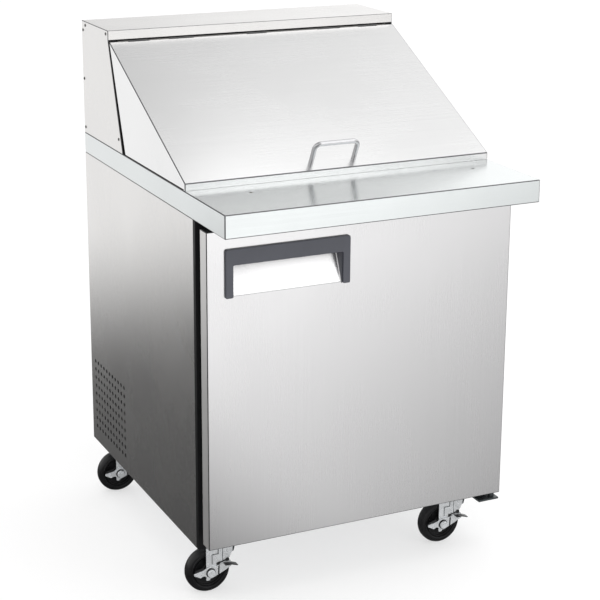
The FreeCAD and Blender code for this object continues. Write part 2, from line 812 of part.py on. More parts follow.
def path_dimension(sketch, amount, kind, *picks):
    """A dimension of a sketch that follows the sheet."""
    held = sketch.addConstraint(Sketcher.Constraint(kind, *picks, amount.value))
    sketch.setExpression(f"Constraints[{held}]", amount.text)


def lid_handle():
    """A bent rod pull that stands square to the slope, its feet through the lid's skin."""
    body = doc.addObject("PartDesign::Body", "handle_rod")
    half = dim("lid_handle_width") / 2
    low = -dim("lid_handle_foot")
    path = handle_path(body, half, dim("lid_handle_height"), low, dim("lid_handle_bend"))
    section = body.newObject("Sketcher::SketchObject", "handle_section")
    section.AttachmentSupport = [(origin_plane(body, "xy"), "")]
    section.MapMode = "FlatFace"
    section.setExpression("AttachmentOffset.Base.z", low.text)
    across_rod = dim("lid_handle_rod")
    centre = FreeCAD.Vector(-half.value, 0, 0)
    section.addGeometry(Part.Circle(centre, FreeCAD.Vector(0, 0, 1), across_rod.value / 2), False)
    path_dimension(section, across_rod, "Diameter", 0)
    path_dimension(section, -half, "DistanceX", -1, 1, 0, 3)
    path_dimension(section, as_size(0), "DistanceY", -1, 1, 0, 3)
    doc.recompute()
    pipe = body.newObject("PartDesign::AdditivePipe", "handle_pipe")
    pipe.Profile = section
    pipe.Spine = (path, [f"Edge{number}" for number in range(1, 6)])
    body.Tip = pipe
    foot = lid_point(lid_handle_along(), as_size(0))
    body.Placement.Rotation = FreeCAD.Rotation(FreeCAD.Vector(1, 0, 0), math.degrees(slope))
    move_to(body, -dim("lid_handle_left"), foot[0], foot[1])
    node(body, "lid_handle")


# ---------------------------------------------------------------- door

door_half = half_width - dim("door_side_gap")
door_low = cabinet_bottom + dim("door_bottom_gap")
door_high = slab_under - dim("door_top_gap")
pull_left = -door_half + dim("pull_inset")
pull_right = pull_left + dim("pull_width")
pull_high = door_high - dim("pull_drop")
pull_low = pull_high - dim("pull_height")
pivot_x = half_width - dim("door_pivot_inset")
pivot_y = back_from_edge(dim("door_pivot_setback"))


def scoop(name, grow, x):
    """The finger recess: deep at its top and sloping out flush with the skin at its bottom."""
    proud = door_front - 2
    deep = door_front + dim("pull_depth") + grow
    knee = pull_high - dim("pull_bar") - 8
    ceiling = pull_high - 6 + grow
    foot = pull_low - grow
    points = [(proud, foot), (door_front, foot), (deep, knee), (deep, ceiling), (proud, ceiling)]
    return prism(name, "yz", points, x)


def door_panel():
    """Outer skin with its pressed recess, foam filling and inner panel."""
    leg = dim("pull_leg")
    recess_x = (pull_left + leg, pull_right - leg)
    wide_x = (recess_x[0] - gauge, recess_x[1] + gauge)
    inside = across(door_half - gauge)
    inside_z = (door_low + gauge, door_high - gauge)
    outer_points = rectangle(across(door_half), (door_front, door_rear))
    outer = prism("door_outer", "xy", outer_points, (door_low, door_high), 2, (0, 1))
    inner = block("door_inner", inside, (door_front + gauge, door_rear + 1), inside_z)
    tray_inside = doc.addObject("Part::Common", "recess_tray_inside")
    tray_inside.Base = scoop("recess_tray", gauge, wide_x)
    door_y, door_z = (door_front, door_rear), (door_low, door_high)
    tray_inside.Tool = block("recess_trim", across(half_width), door_y, door_z)
    fused = fuse("door_skin_fused", cut("door_hollow", outer, inner), tray_inside)
    space = scoop("recess_space", as_size(0), recess_x)
    node(cut("door_skin_cut", fused, space, *pin_bores("door_skin")), "door_skin")
    foam = block("door_foam_block", inside, (door_front + gauge, door_rear - 1), inside_z)
    foam_recess = scoop("foam_recess", gauge, wide_x)
    node(cut("door_foam_cut", foam, foam_recess, *pin_bores("door_foam")), "door_foam")
    plate = block("inner_plate", inside, (door_rear - 1, door_rear), inside_z)
    raised_z = (floor_top + 10, opening_top - 10)
    raised = block("inner_raised", across(inner_half - 18), (door_rear - 0.5, door_rear + 10), raised_z)
    node(fuse("inner_panel", plate, raised), "door_liner")


def pin_bores(name):
    """Bores for the two hinge bushes, in the door's lower and upper edges."""
    radius = dim("hinge_collar") / 2 + 0.1
    starts = (("low", door_low - 5), ("high", door_high - 25))
    return [rod(f"{name}_bore_{end}", radius, 30, pivot_x, pivot_y, z) for end, z in starts]


def door_gasket():
    reach = pivot_x - 1
    lip = dim("gasket_lip")
    low, high = door_low + lip - 4, door_high - lip + 4
    ring = block("gasket_ring", (-reach, reach), (door_rear, breaker_front), (low, high))
    hole_y = (door_rear - 1, breaker_front + 1)
    hole = block("gasket_hole", (lip - reach, reach - lip), hole_y, (low + lip, high - lip))
    node(cut("gasket_cut", ring, hole), "door_gasket")


def door_pull():
    """Moulded inverted-U trim: a top bar, two legs and a cheek from each leg into the recess."""
    bar, leg, cheek = dim("pull_bar"), dim("pull_leg"), dim("pull_cheek")
    inner_left, inner_right = pull_left + leg, pull_right - leg
    points = [
        (pull_left, pull_low), (inner_left, pull_low), (inner_left, pull_high - bar),
        (inner_right, pull_high - bar), (inner_right, pull_low), (pull_right, pull_low),
        (pull_right, pull_high), (pull_left, pull_high),
    ]
    face = prism("pull_face", "xz", points, (door_front - dim("pull_proud"), door_front), 6, (6, 7))
    clear = as_size(-0.4)
    left_cheek = scoop("pull_cheek_left", clear, (inner_left, inner_left + cheek))
    right_cheek = scoop("pull_cheek_right", clear, (inner_right - cheek, inner_right))
    lip_y = (door_front - 1, door_front + 4)
    lip = block("pull_lip", (inner_left, inner_right), lip_y, (pull_high - bar, pull_high - 8))
    node(fuse("pull_fused", face, left_cheek, right_cheek, lip), "door_handle_trim")


def door_hinges():
    """Steel brackets screwed to the front frame, each with a pin in a nylon bush of the door."""
    pin, collar, leaf = dim("hinge_pin") / 2, dim("hinge_collar") / 2, dim("hinge_leaf")
    reach_x = (pivot_x - 40, pivot_x + 12)
    leaf_y = (breaker_front - leaf, breaker_front)
    arm_y = (pivot_y - 14, breaker_front)
    low_top = door_low - 12
    low_arm = block("low_arm", reach_x, arm_y, (low_top - leaf, low_top))
    low_leaf = block("low_leaf", reach_x, leaf_y, (low_top - leaf, door_low + 8))
    low_collar = rod("low_collar", collar, 11.5, pivot_x, pivot_y, low_top)
    low_pin = rod("low_pin", pin, 30, pivot_x, pivot_y, low_top)
    low = fuse("low_bracket", low_arm, low_leaf, low_collar, low_pin)
    high_under = door_high + 5
    high_arm = block("high_arm", reach_x, arm_y, (high_under, high_under + leaf))
    high_leaf = block("high_leaf", reach_x, leaf_y, (door_high - 8, high_under + leaf))
    high_collar = rod("high_collar", collar, 4.5, pivot_x, pivot_y, door_high + 0.5)
    high_pin = rod("high_pin", pin, 25, pivot_x, pivot_y, door_high - 18)
    high = fuse("high_bracket", high_arm, high_leaf, high_collar, high_pin)
    node(group("hinge_bracket_pair", [low, high]), "door_hinge_brackets")
    bushes = []
    for end, z in (("low", door_low), ("high", door_high - 20)):
        tube = rod(f"bush_{end}_tube", collar, 20, pivot_x, pivot_y, z)
        bore = rod(f"bush_{end}_bore", pin + dim("running_gap"), 22, pivot_x, pivot_y, z - 1)
        bushes.append(cut(f"bush_{end}", tube, bore))
    node(group("bush_pair", bushes), "door_bushings")


# ---------------------------------------------------------------- inside the food space

def shelf():
    """Four slotted pilasters, a clip on each, and a wire shelf on the clips."""
    shelf_z = step_top + dim("shelf_rise")
    strip_half = dim("pilaster_width") / 2
    strip_ys = (cabinet_front + 70, well_rear - 110)
    pilasters = []
    clips = []
    for index, y in enumerate(strip_ys):
        low = step_top + 5 if index else floor_top + 20
        strip_x = (1 - inner_half, 6 - inner_half)
        strip = block(f"pilaster_{index}", strip_x, (y - strip_half, y + strip_half), (low, opening_top - 20))
        clip_x = (6 - inner_half, 16 - inner_half)
        clip = block(f"clip_{index}", clip_x, (y - 7, y + 7), (shelf_z - 8, shelf_z))
        pilasters += [strip, mirrored(f"pilaster_other_{index}", strip)]
        clips += [clip, mirrored(f"clip_other_{index}", clip)]
    node(group("pilaster_set", pilasters), "shelf_pilasters")
    node(group("clip_set", clips), "shelf_clips")
    wire_shelf(inner_half - 8, strip_ys[0] - 20, strip_ys[1] + 20, shelf_z)


def wire_shelf(half, y_low, y_high, z):
    """Wires from front to back, welded on three cross rails that rest on the clips."""
    rail, wire = dim("shelf_rail") / 2, dim("shelf_wire") / 2
    rails = []
    for index, y in enumerate((y_low, (y_low + y_high) / 2, y_high)):
        rails.append(rod(f"shelf_rail_{index}", rail, half * 2, -half, y, z + rail, "x"))
    wires = []
    last = DRIVING["shelf_wires"] - 1
    for index in range(last + 1):
        x = -half + 4 + (half - 4) * 2 * index / last
        wires.append(rod(f"shelf_wire_{index}", wire, y_high - y_low, x, y_low, z + rail + 4.2, "y"))
    node(fuse("shelf_wires", *rails, *wires), "wire_shelf")


def evaporator():
    """Coil and fan behind a cover on the rear wall, under the last row of pans."""
    low, high = step_top + 100, step_top + 300
    back = well_rear - 3
    face = back - 90
    reach = as_size(240)
    cover = box_shell("coil_cover", across(reach), (face, back), (low, high), dim("coil_gauge"), "rear")
    mouth = rod("coil_cover_mouth", 62, 12, as_size(-110), face - 5, (low + high) / 2, "y")
    slots = []
    for index in range(8):
        slot_low = low + 30 + 18 * index
        slot_z = (slot_low, slot_low + 8)
        slots.append(block(f"coil_cover_slot_{index}", (30, 210), (face - 5, face + 5), slot_z))
    node(cut("coil_cover_cut", cover, mouth, *slots), "evaporator_cover")
    coil_y = (back - 38, back - 8)
    node(coil("evaporator_block", across(reach - 12), coil_y, (low + 15, high - 15), 40), "evaporator_coil")


def coil(name, x, y, z, fins):
    """A finned block: a row of fins and the tube passes through them."""
    thick, radius = dim("coil_fin"), dim("coil_tube") / 2
    plates = []
    run = x[1] - x[0]
    for index in range(fins):
        at_x = x[0] + (run - thick) * index / (fins - 1)
        plates.append(block(f"{name}_fin_{index}", (at_x, at_x + thick), y, z))
    tubes = []
    passes = 5
    for index in range(passes):
        at_z = z[0] + (z[1] - z[0]) * (index + 0.5) / passes
        tubes.append(rod(f"{name}_tube_{index}", radius, run, x[0], (y[0] + y[1]) / 2, at_z, "x"))
    return fuse(name, *plates, *tubes)


def fan(name, y, z, x, radius, blades):
    """A hub with pitched blades, turning about an axis along Y."""
    hub_length, root, pitch, chord = 14, 12, 28, 34
    pieces = [rod(name + "_hub", dim("fan_hub") / 2, hub_length, x, y, z, "y")]
    at = FreeCAD.Vector
    hub_middle = FreeCAD.Placement(at(x.value, y.value + hub_length / 2, z.value), FreeCAD.Rotation())
    tilted = FreeCAD.Placement(at(root, 0, 0), FreeCAD.Rotation(at(1, 0, 0), pitch))
    centred = FreeCAD.Placement(at(0, -1, -chord / 2), FreeCAD.Rotation())
    for index in range(blades):
        blade = doc.addObject("Part::Box", f"{name}_blade_{index}")
        bind(blade, Length=radius - root, Width=2, Height=chord)
        turned = FreeCAD.Placement(at(0, 0, 0), FreeCAD.Rotation(at(0, 1, 0), 360 * index / blades))
        blade.Placement = hub_middle * turned * tilted * centred
        pieces.append(blade)
    bore = rod(name + "_bore", 3 + dim("running_gap"), hub_length + 2, x, y - 1, z, "y")
    return cut(name, fuse(name + "_fused", *pieces), bore)


def fans():
    """Two fan wheels and the motor behind each, on a strap bracket."""
    evaporator_place = (as_size(-110), well_rear - 85, step_top + 200)
    condenser_place = (as_size(150), machine_front + 120, cabinet_bottom + 130)
    motors = []
    kinds = (("evaporator", evaporator_place, 56, 75), ("condenser", condenser_place, 95, 118))
    for name, place, radius, strap in kinds:
        x, y, z = place
        node(fan(f"{name}_wheel", y, z, x, as_size(radius), 5), f"{name}_fan")
        can = rod(f"{name}_motor_can", dim("motor_can") / 2, 20, x, y + 18, z, "y")
        shaft = rod(f"{name}_motor_shaft", 3, 20, x, y - 1, z, "y")
        bar = block(f"{name}_motor_strap", (x - 9, x + 9), (y + 36, y + 39), (z - strap, z + strap))
        motors.append(fuse(f"{name}_motor", can, shaft, bar))
    node(group("motor_pair", motors), "fan_motors")


# ---------------------------------------------------------------- machine room

def machine_room():
    """Compressor, condenser, drain tray, temperature control and power inlet."""
    floor = cabinet_bottom + dim("base_gauge")
    compressor(as_size(-130), machine_front + 140, floor)
    condenser_y = (machine_front + 30, machine_front + 100)
    condenser_z = (floor + 18, floor + 250)
    condenser = coil("condenser_block", (as_size(40), as_size(260)), condenser_y, condenser_z, 36)
    node(condenser, "condenser_coil")
    tray_y = (machine_front + 60, machine_front + 220)
    tray = box_shell("tray", across(30), tray_y, (floor, floor + 35), dim("coil_gauge"), "top")
    node(tray, "drain_tray")
    inside = rear - gauge
    control_z = (dim("machine_top") - 55, dim("machine_top") - 10)
    node(block("control_case", (180, 280), (inside - 62, inside), control_z), "temperature_control")
    gland_x, gland_z = as_size(-300), floor + 60
    flange = rod("gland_flange", 14, 3, gland_x, inside - 3, gland_z, "y")
    body = rod("gland_body", 9, 20, gland_x, inside - 22, gland_z, "y")
    bore = rod("gland_bore", 5, 30, gland_x, inside - 25, gland_z, "y")
    node(cut("gland_cut", fuse("gland", flange, body), bore), "power_inlet")


def compressor(x, y, floor):
    """A domed can on a foot plate, with four grommets and a suction stub."""
    radius = dim("compressor_can") / 2
    can = rod("compressor_can", radius, 120, x, y, floor + 25)
    dome = doc.addObject("Part::Sphere", "compressor_dome")
    bind(dome, Radius=radius)
    move_to(dome, x, y, floor + 145)
    dome_top = doc.addObject("Part::Common", "compressor_dome_top")
    dome_top.Base = dome
    around = radius + 2
    dome_z = (floor + 120, floor + 185)
    dome_top.Tool = block("compressor_dome_box", (x - around, x + around), (y - around, y + around), dome_z)
    feet = block("compressor_feet", (x - 85, x + 85), (y - 60, y + 60), (floor + 8, floor + 28))
    grommets = []
    for index, (aside, back) in enumerate(((-70, -45), (-70, 45), (70, -45), (70, 45))):
        grommets.append(rod(f"compressor_foot_{index}", 10, 9, x + aside, y + back, floor))
    stub = rod("compressor_stub", 4, 40, x + 58, y, floor + 150, "x")
    node(fuse("compressor_fused", can, dome_top, feet, *grommets, stub), "compressor")


# ---------------------------------------------------------------- casters

axle_z = dim("wheel_diameter") / 2
CASTERS = {
    "front_left": (-1, "caster_front_setback"),
    "front_right": (1, "caster_front_setback"),
    "rear_left": (-1, "caster_rear_setback"),
    "rear_right": (1, "caster_rear_setback"),
}
fork_half = dim("wheel_width") / 2 + 2.5
fork_gauge = as_size(2.5)
axle_radius = dim("axle_bolt") / 2


def caster_centre(name):
    sign, setback = CASTERS[name]
    return (half_width - dim("caster_side_inset")) * sign, back_from_edge(dim(setback))


def fork(name, x, y):
    """A pressed fork: a top plate with its ball race and two legs that trail to the axle."""
    saddle_low, saddle_top = cabinet_bottom - 18, cabinet_bottom - 14.5
    top = rod(name + "_top", 27, 3, x, y, cabinet_bottom - 16)
    race = rod(name + "_race", 24, 3.5, x, y, cabinet_bottom - 13)
    outer_y = fork_half + fork_gauge
    axle_x = x - dim("caster_trail")
    saddle_x = (axle_x - 9, axle_x + 56)
    saddle = block(name + "_saddle", saddle_x, (y - outer_y, y + outer_y), (saddle_low, saddle_top))
    leg_points = [
        (axle_x - 9, axle_z - 12), (axle_x + 9, axle_z - 11), (axle_x + 38, axle_z + 10),
        (axle_x + 47, axle_z + 28), (axle_x + 56, axle_z + 45), (axle_x + 56, saddle_top),
        (axle_x - 9, saddle_top),
    ]
    legs = []
    for side, span in (("front", (y - outer_y, y - fork_half)), ("rear", (y + fork_half, y + outer_y))):
        legs.append(prism(f"{name}_leg_{side}", "xz", leg_points, span))
    king_hole = rod(name + "_king_hole", 5 + dim("running_gap"), 20, x, y, saddle_low - 7)
    radius, length = axle_radius + dim("running_gap"), outer_y * 2 + 2
    axle_hole = rod(name + "_axle_hole", radius, length, axle_x, y - outer_y - 1, axle_z, "y")
    return cut(name, fuse(name + "_stock", top, race, saddle, *legs), king_hole, axle_hole)


def axle(name, x, y):
    """A bolt through both fork legs and the wheel, with a hexagon head in front and a nut behind."""
    outer_y = fork_half + fork_gauge
    axle_x = x - dim("caster_trail")
    shank = rod(name + "_shank", axle_radius, outer_y * 2 + 9, axle_x, y - outer_y - 4, axle_z, "y")
    head = hexagon(name + "_head", 8.5, 5, axle_x, y - outer_y - 3.2 - 5, axle_z)
    nut = hexagon(name + "_nut", 8.5, 5, axle_x, y + outer_y, axle_z)
    return fuse(name, shank, head, nut)


def hexagon(name, radius, length, x, y, z):
    made = doc.addObject("Part::Prism", name)
    made.Polygon = 6
    bind(made, Circumradius=radius, Height=length)
    turn(made, (1, 0, 0), -90)
    return move_to(made, x, y, z)


def wheel(name, x, y):
    """A moulded wheel: a round-shouldered tread, a dished face on each side and a hub."""
    radius = dim("wheel_diameter") / 2
    half = dim("wheel_width") / 2
    bore = axle_radius + dim("running_gap")
    hub = as_size(12)
    face = [
        (bore, half + 1.5), (hub, half + 1.5), (hub, half - 5), (radius - 16, half - 5),
        (radius - 12, half), (radius - 5, half), (radius, half - 7),
    ]
    points = [(out, -along) for out, along in face] + list(reversed(face))
    body = doc.addObject("PartDesign::Body", name + "_body")
    half_section = outline(body, name + "_section", "xy", as_size(0), points)
    turned = body.newObject("PartDesign::Revolution", name + "_turned")
    turned.Profile = half_section
    turned.ReferenceAxis = (half_section, ["V_Axis"])
    turned.Angle = 360
    body.Tip = turned
    return move_to(body, x - dim("caster_trail"), y, axle_z)


def brake(name, x, y):
    """A stamped foot lever across the wheel's face, with a pedal tab bent out at its end."""
    axle_x = x - dim("caster_trail")
    face = y - fork_half - fork_gauge
    points = [
        (axle_x - 39, axle_z - 1), (axle_x - 24, axle_z - 9), (axle_x - 12, axle_z - 7),
        (axle_x, axle_z - 14), (axle_x + 13, axle_z - 10), (axle_x + 50, axle_z + 7),
        (axle_x + 48, axle_z + 21), (axle_x + 22, axle_z + 15), (axle_x, axle_z + 14),
        (axle_x - 16, axle_z + 8), (axle_x - 39, axle_z + 4),
    ]
    lever = prism(name + "_plate", "xz", points, (face - 3, face - 0.5))
    pedal_x = (axle_x + 34, axle_x + 60)
    pedal = block(name + "_pedal", pedal_x, (face - 13, face - 0.5), (axle_z + 13.5, axle_z + 16))
    bore = rod(name + "_hole", axle_radius + dim("running_gap"), 12, axle_x, face - 8, axle_z, "y")
    return cut(name, fuse(name + "_fused", lever, pedal), bore)


def casters():
    plates = []
    bolts = []
    for name in CASTERS:
        x, y = caster_centre(name)
        plates.append(top_plate(name, x, y))
        for index, (aside, back) in enumerate(((-38, -25), (38, -25), (-38, 25), (38, 25))):
            bolt_name = f"plate_bolt_{name}_{index}"
            bolts.append(rod(bolt_name, 6, 4, x + aside, y + back, cabinet_bottom - 7))
        node(fork(f"fork_{name}", x, y), f"caster_fork_{name}")
        node(axle(f"axle_{name}", x, y), f"caster_axle_{name}")
        node(wheel(f"wheel_{name}", x, y), f"caster_wheel_{name}")
        node(brake(f"brake_{name}", x, y), f"caster_brake_{name}")
    node(group("plate_set", plates), "caster_plates")
    node(group("plate_bolt_set", bolts), "caster_bolts")


def top_plate(name, x, y):
    """A fixing plate with the upper ball race and the king pin that the fork hangs on."""
    half_x, half_y = 47.5, 33.5
    plate_z = (cabinet_bottom - 3, cabinet_bottom)
    plate = block(f"plate_{name}", (x - half_x, x + half_x), (y - half_y, y + half_y), plate_z)
    race = rod(f"plate_race_{name}", 26, 7, x, y, cabinet_bottom - 9)
    king = rod(f"plate_king_{name}", 5, 14, x, y, cabinet_bottom - 19)
    head = rod(f"plate_head_{name}", 8, 2.4, x, y, cabinet_bottom - 21)
    return fuse(f"plate_whole_{name}", plate, race, king, head)


# ---------------------------------------------------------------- build, check and write

def build():
    side_panels()
    cabinet_panels()
    cabinet_walls()
    worktop()
    pan_well()
    pans()
    hood_sides()
    hood_cover()
    hood_foam()
    hood_screws()
    lid()
    lid_handle()
    door_panel()
    door_gasket()
    door_pull()
    door_hinges()
    shelf()
    evaporator()
    fans()
    machine_room()
    casters()
    doc.recompute()


def check():
    """Stop if any object failed or any sub-part has no sound solid."""
    bad_states = {"Invalid", "Error"}
    faults = [f"{thing.Name}: {thing.State}" for thing in doc.Objects if bad_states & set(thing.State)]
    for label, thing in NODES.items():
        shape = thing.Shape
        if shape.isNull() or not shape.isValid() or not shape.Solids:
            faults.append(f"{label}: no valid solid")
        elif min(solid.Volume for solid in shape.Solids) <= 0:
            faults.append(f"{label}: a solid with no volume")
    if faults:
        raise RuntimeError("\n".join(faults))


def write():
    os.makedirs("parts", exist_ok=True)
    for label, thing in NODES.items():
        thing.Shape.exportStep(f"parts/{label}.step")


build()
check()
write()
print(len(NODES), "sub-parts written")
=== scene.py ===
import json
import math

import bmesh
import bpy
from mathutils import Euler, Matrix, Vector

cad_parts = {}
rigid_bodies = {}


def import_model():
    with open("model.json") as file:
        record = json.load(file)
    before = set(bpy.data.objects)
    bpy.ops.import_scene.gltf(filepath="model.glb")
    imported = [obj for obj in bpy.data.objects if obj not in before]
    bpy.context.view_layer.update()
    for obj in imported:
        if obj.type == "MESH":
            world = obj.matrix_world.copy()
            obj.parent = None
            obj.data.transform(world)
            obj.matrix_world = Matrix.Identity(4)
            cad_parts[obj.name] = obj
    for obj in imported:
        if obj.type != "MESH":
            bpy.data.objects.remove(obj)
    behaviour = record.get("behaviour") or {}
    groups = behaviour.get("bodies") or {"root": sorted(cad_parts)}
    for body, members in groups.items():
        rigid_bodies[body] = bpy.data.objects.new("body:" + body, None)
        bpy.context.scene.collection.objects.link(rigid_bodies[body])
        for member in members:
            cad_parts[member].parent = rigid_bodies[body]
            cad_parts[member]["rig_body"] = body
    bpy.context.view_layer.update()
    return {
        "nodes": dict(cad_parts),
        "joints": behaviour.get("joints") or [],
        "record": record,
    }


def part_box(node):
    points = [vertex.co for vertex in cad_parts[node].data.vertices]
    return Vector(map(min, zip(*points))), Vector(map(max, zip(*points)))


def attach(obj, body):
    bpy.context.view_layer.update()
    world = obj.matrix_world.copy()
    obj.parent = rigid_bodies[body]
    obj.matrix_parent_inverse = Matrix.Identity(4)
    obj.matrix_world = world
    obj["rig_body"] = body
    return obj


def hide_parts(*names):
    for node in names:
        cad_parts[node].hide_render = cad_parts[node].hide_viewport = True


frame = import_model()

# A refrigerated sandwich prep table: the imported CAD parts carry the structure, and the pieces made here
# stand for the ones whose look needs folded edges, rounded mouldings or fine detail. Lengths are in metres.

MM = 0.001
NODES = frame["nodes"]
GAUGE = 1.2 * MM


def low(node):
    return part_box(node)[0]


def high(node):
    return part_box(node)[1]


# ---------------------------------------------------------------- materials

class Nodes:
    """Short calls for the usual nodes of a shader tree, with textures placed in the frame's own metres."""

    def __init__(self, tree, place="Object"):
        self.tree = tree
        self.place = tree.nodes.new("ShaderNodeTexCoord").outputs[place]

    def node(self, kind, **settings):
        made = self.tree.nodes.new(kind)
        for name, value in settings.items():
            if hasattr(made, name):
                setattr(made, name, value)
            else:
                made.inputs[name.replace("_", " ")].default_value = value
        return made

    def link(self, output, target):
        self.tree.links.new(output, target)

    def sum(self, operation, *terms):
        """A Math node whose terms are numbers or outputs."""
        made = self.node("ShaderNodeMath", operation=operation)
        for term, target in zip(terms, made.inputs):
            if isinstance(term, (int, float)):
                target.default_value = term
            else:
                self.link(term, target)
        return made.outputs["Value"]

    def axes(self):
        """The place's X, Y and Z."""
        made = self.node("ShaderNodeSeparateXYZ")
        self.link(self.place, made.inputs["Vector"])
        return made.outputs

    def stretched(self, scale):
        made = self.node("ShaderNodeMapping", Scale=scale)
        self.link(self.place, made.inputs["Vector"])
        return made.outputs["Vector"]

    def noise(self, scale, detail=4.0, roughness=0.5, stretch=(1, 1, 1)):
        made = self.node("ShaderNodeTexNoise", Scale=scale, Detail=detail, Roughness=roughness)
        self.link(self.stretched(stretch), made.inputs["Vector"])
        return made.outputs["Fac"]

    def cells(self, scale):
        made = self.node("ShaderNodeTexVoronoi", Scale=scale)
        self.link(self.place, made.inputs["Vector"])
        return made.outputs["Distance"]

    def spread(self, value, bottom, top, start=0.3, end=0.7, shape="LINEAR"):
        """A value mapped from start-end to bottom-top and held at the ends."""
        made = self.node("ShaderNodeMapRange", interpolation_type=shape)
        for socket, amount in zip(("From Min", "From Max", "To Min", "To Max"), (start, end, bottom, top)):
            made.inputs[socket].default_value = amount
        self.link(value, made.inputs["Value"])
        return made.outputs["Result"]

    def tones(self, value, dark, light, start=0.3, end=0.7):
        """A texture value turned into a colour between two tones."""
        ramp = self.node("ShaderNodeValToRGB")
        ramp.color_ramp.elements[0].position = start
        ramp.color_ramp.elements[0].color = (*dark, 1)
        ramp.color_ramp.elements[1].position = end
        ramp.color_ramp.elements[1].color = (*light, 1)
        self.link(value, ramp.inputs["Fac"])
        return ramp.outputs["Color"]

    def bump(self, value, strength, distance):
        made = self.node("ShaderNodeBump", Strength=strength, Distance=distance)
        self.link(value, made.inputs["Height"])
        return made.outputs["Normal"]


class Shader(Nodes):
    """A node material with a Principled shader."""

    def __init__(self, name, **sockets):
        self.material = bpy.data.materials.new(name)
        self.material.use_nodes = True
        super().__init__(self.material.node_tree)
        self.shader = self.tree.nodes["Principled BSDF"]
        for socket, value in sockets.items():
            self.set(socket.replace("_", " "), value)

    def set(self, socket, value):
        if isinstance(value, tuple) and len(value) == 3:
            value = (*value, 1)
        self.shader.inputs[socket].default_value = value

    def drive(self, socket, output):
        self.link(output, self.shader.inputs[socket])


def shaded(colour, factor):
    return tuple(channel * factor for channel in colour)


# Noise scales that draw brushed grain out along one axis, in cycles per metre.
GRAIN = {"x": (2.5, 900, 900), "z": (900, 900, 2.5)}


def brushed(name, colour=(0.70, 0.69, 0.68), grain="x", roughness=0.27):
    """Satin stainless sheet: long fine grain one way, and faint handling marks."""
    look = Shader(name, Metallic=1.0)
    streak = 0.03
    fine = look.noise(1.0, 5.0, 0.65, GRAIN[grain])
    marks = look.noise(5.0, 3.0, 0.5)
    look.drive("Base Color", look.tones(fine, shaded(colour, 1 - streak), shaded(colour, 1 + streak / 2)))
    mixed = look.sum("MULTIPLY_ADD", fine, 0.55, marks)
    look.drive("Roughness", look.spread(mixed, roughness - 0.04, roughness + 0.04, 0.5, 1.1))
    look.drive("Normal", look.bump(fine, 0.04, 0.0001))
    return look.material


def polished(name, colour=(0.80, 0.81, 0.81), roughness=0.07, mist=0.05):
    """Mirror-bright sheet with hairline scratches and a trace of wiping."""
    look = Shader(name, Metallic=1.0)
    hairs = look.noise(1.0, 4.0, 0.6, (2.0, 420, 420))
    wiped = look.noise(6.0, 4.0, 0.55)
    look.drive("Base Color", look.tones(hairs, shaded(colour, 0.96), colour))
    look.drive("Roughness", look.spread(wiped, roughness, roughness + mist))
    look.drive("Normal", look.bump(hairs, 0.04, 0.0001))
    return look.material


def plated(name, colour=(0.92, 0.94, 0.96), metallic=0.5):
    """Zinc-plated pressed steel: a cloudy, slightly blue shine under a pale passivation."""
    look = Shader(name, Metallic=metallic)
    cloud = look.noise(60.0, 5.0, 0.6)
    fine = look.noise(900.0, 2.0, 0.5)
    look.drive("Base Color", look.tones(cloud, shaded(colour, 0.82), colour))
    look.drive("Roughness", look.spread(cloud, 0.2, 0.34))
    look.drive("Normal", look.bump(fine, 0.12, 0.0002))
    return look.material


def moulded(name, colour, roughness=0.45, shine=0.5, clouding=0.1):
    """Moulded plastic with a fine spark-eroded texture."""
    look = Shader(name, Specular_IOR_Level=shine)
    pits = look.noise(1400.0, 3.0, 0.6)
    cloud = look.noise(14.0, 3.0, 0.5)
    look.drive("Base Color", look.tones(cloud, shaded(colour, 1 - clouding), shaded(colour, 1 + clouding)))
    look.drive("Roughness", look.spread(cloud, roughness - 0.04, roughness + 0.06))
    look.drive("Normal", look.bump(pits, 0.2, 0.0002))
    return look.material


def rubber(name, colour=(0.005, 0.005, 0.0055), roughness=0.34, shine=0.35):
    """Black rubber with a dry bloom."""
    look = Shader(name, Specular_IOR_Level=shine)
    bloom = look.noise(40.0, 6.0, 0.65)
    pores = look.noise(1800.0, 2.0, 0.5)
    look.drive("Base Color", look.tones(bloom, colour, shaded(colour, 2.4), 0.35, 0.8))
    look.drive("Roughness", look.spread(bloom, roughness - 0.08, roughness + 0.14))
    look.drive("Normal", look.bump(pores, 0.25, 0.0003))
    return look.material


def painted(name, colour, roughness=0.35):
    """Stoved paint with a light orange peel."""
    look = Shader(name, Coat_Weight=0.25, Coat_Roughness=0.2)
    peel = look.noise(260.0, 2.0, 0.5)
    dust = look.noise(18.0, 5.0, 0.6)
    look.drive("Base Color", look.tones(dust, shaded(colour, 0.85), shaded(colour, 1.15)))
    look.drive("Roughness", look.spread(dust, roughness - 0.05, roughness + 0.1))
    look.drive("Normal", look.bump(peel, 0.15, 0.0004))
    return look.material


def foamed(name, colour=(0.78, 0.66, 0.38)):
    """Rigid insulating foam with open cells where it was cut."""
    look = Shader(name, Roughness=0.85)
    cell = look.cells(420.0)
    look.drive("Base Color", look.tones(cell, shaded(colour, 0.7), colour, 0.0, 0.5))
    look.drive("Normal", look.bump(cell, 0.6, 0.001))
    return look.material


def boarded(name, colour=(0.50, 0.36, 0.20)):
    """Plywood core: long grain and darker glue lines."""
    look = Shader(name, Roughness=0.7)
    grain = look.noise(1.0, 6.0, 0.7, (3, 60, 400))
    look.drive("Base Color", look.tones(grain, shaded(colour, 0.6), colour))
    look.drive("Normal", look.bump(grain, 0.3, 0.0005))
    return look.material


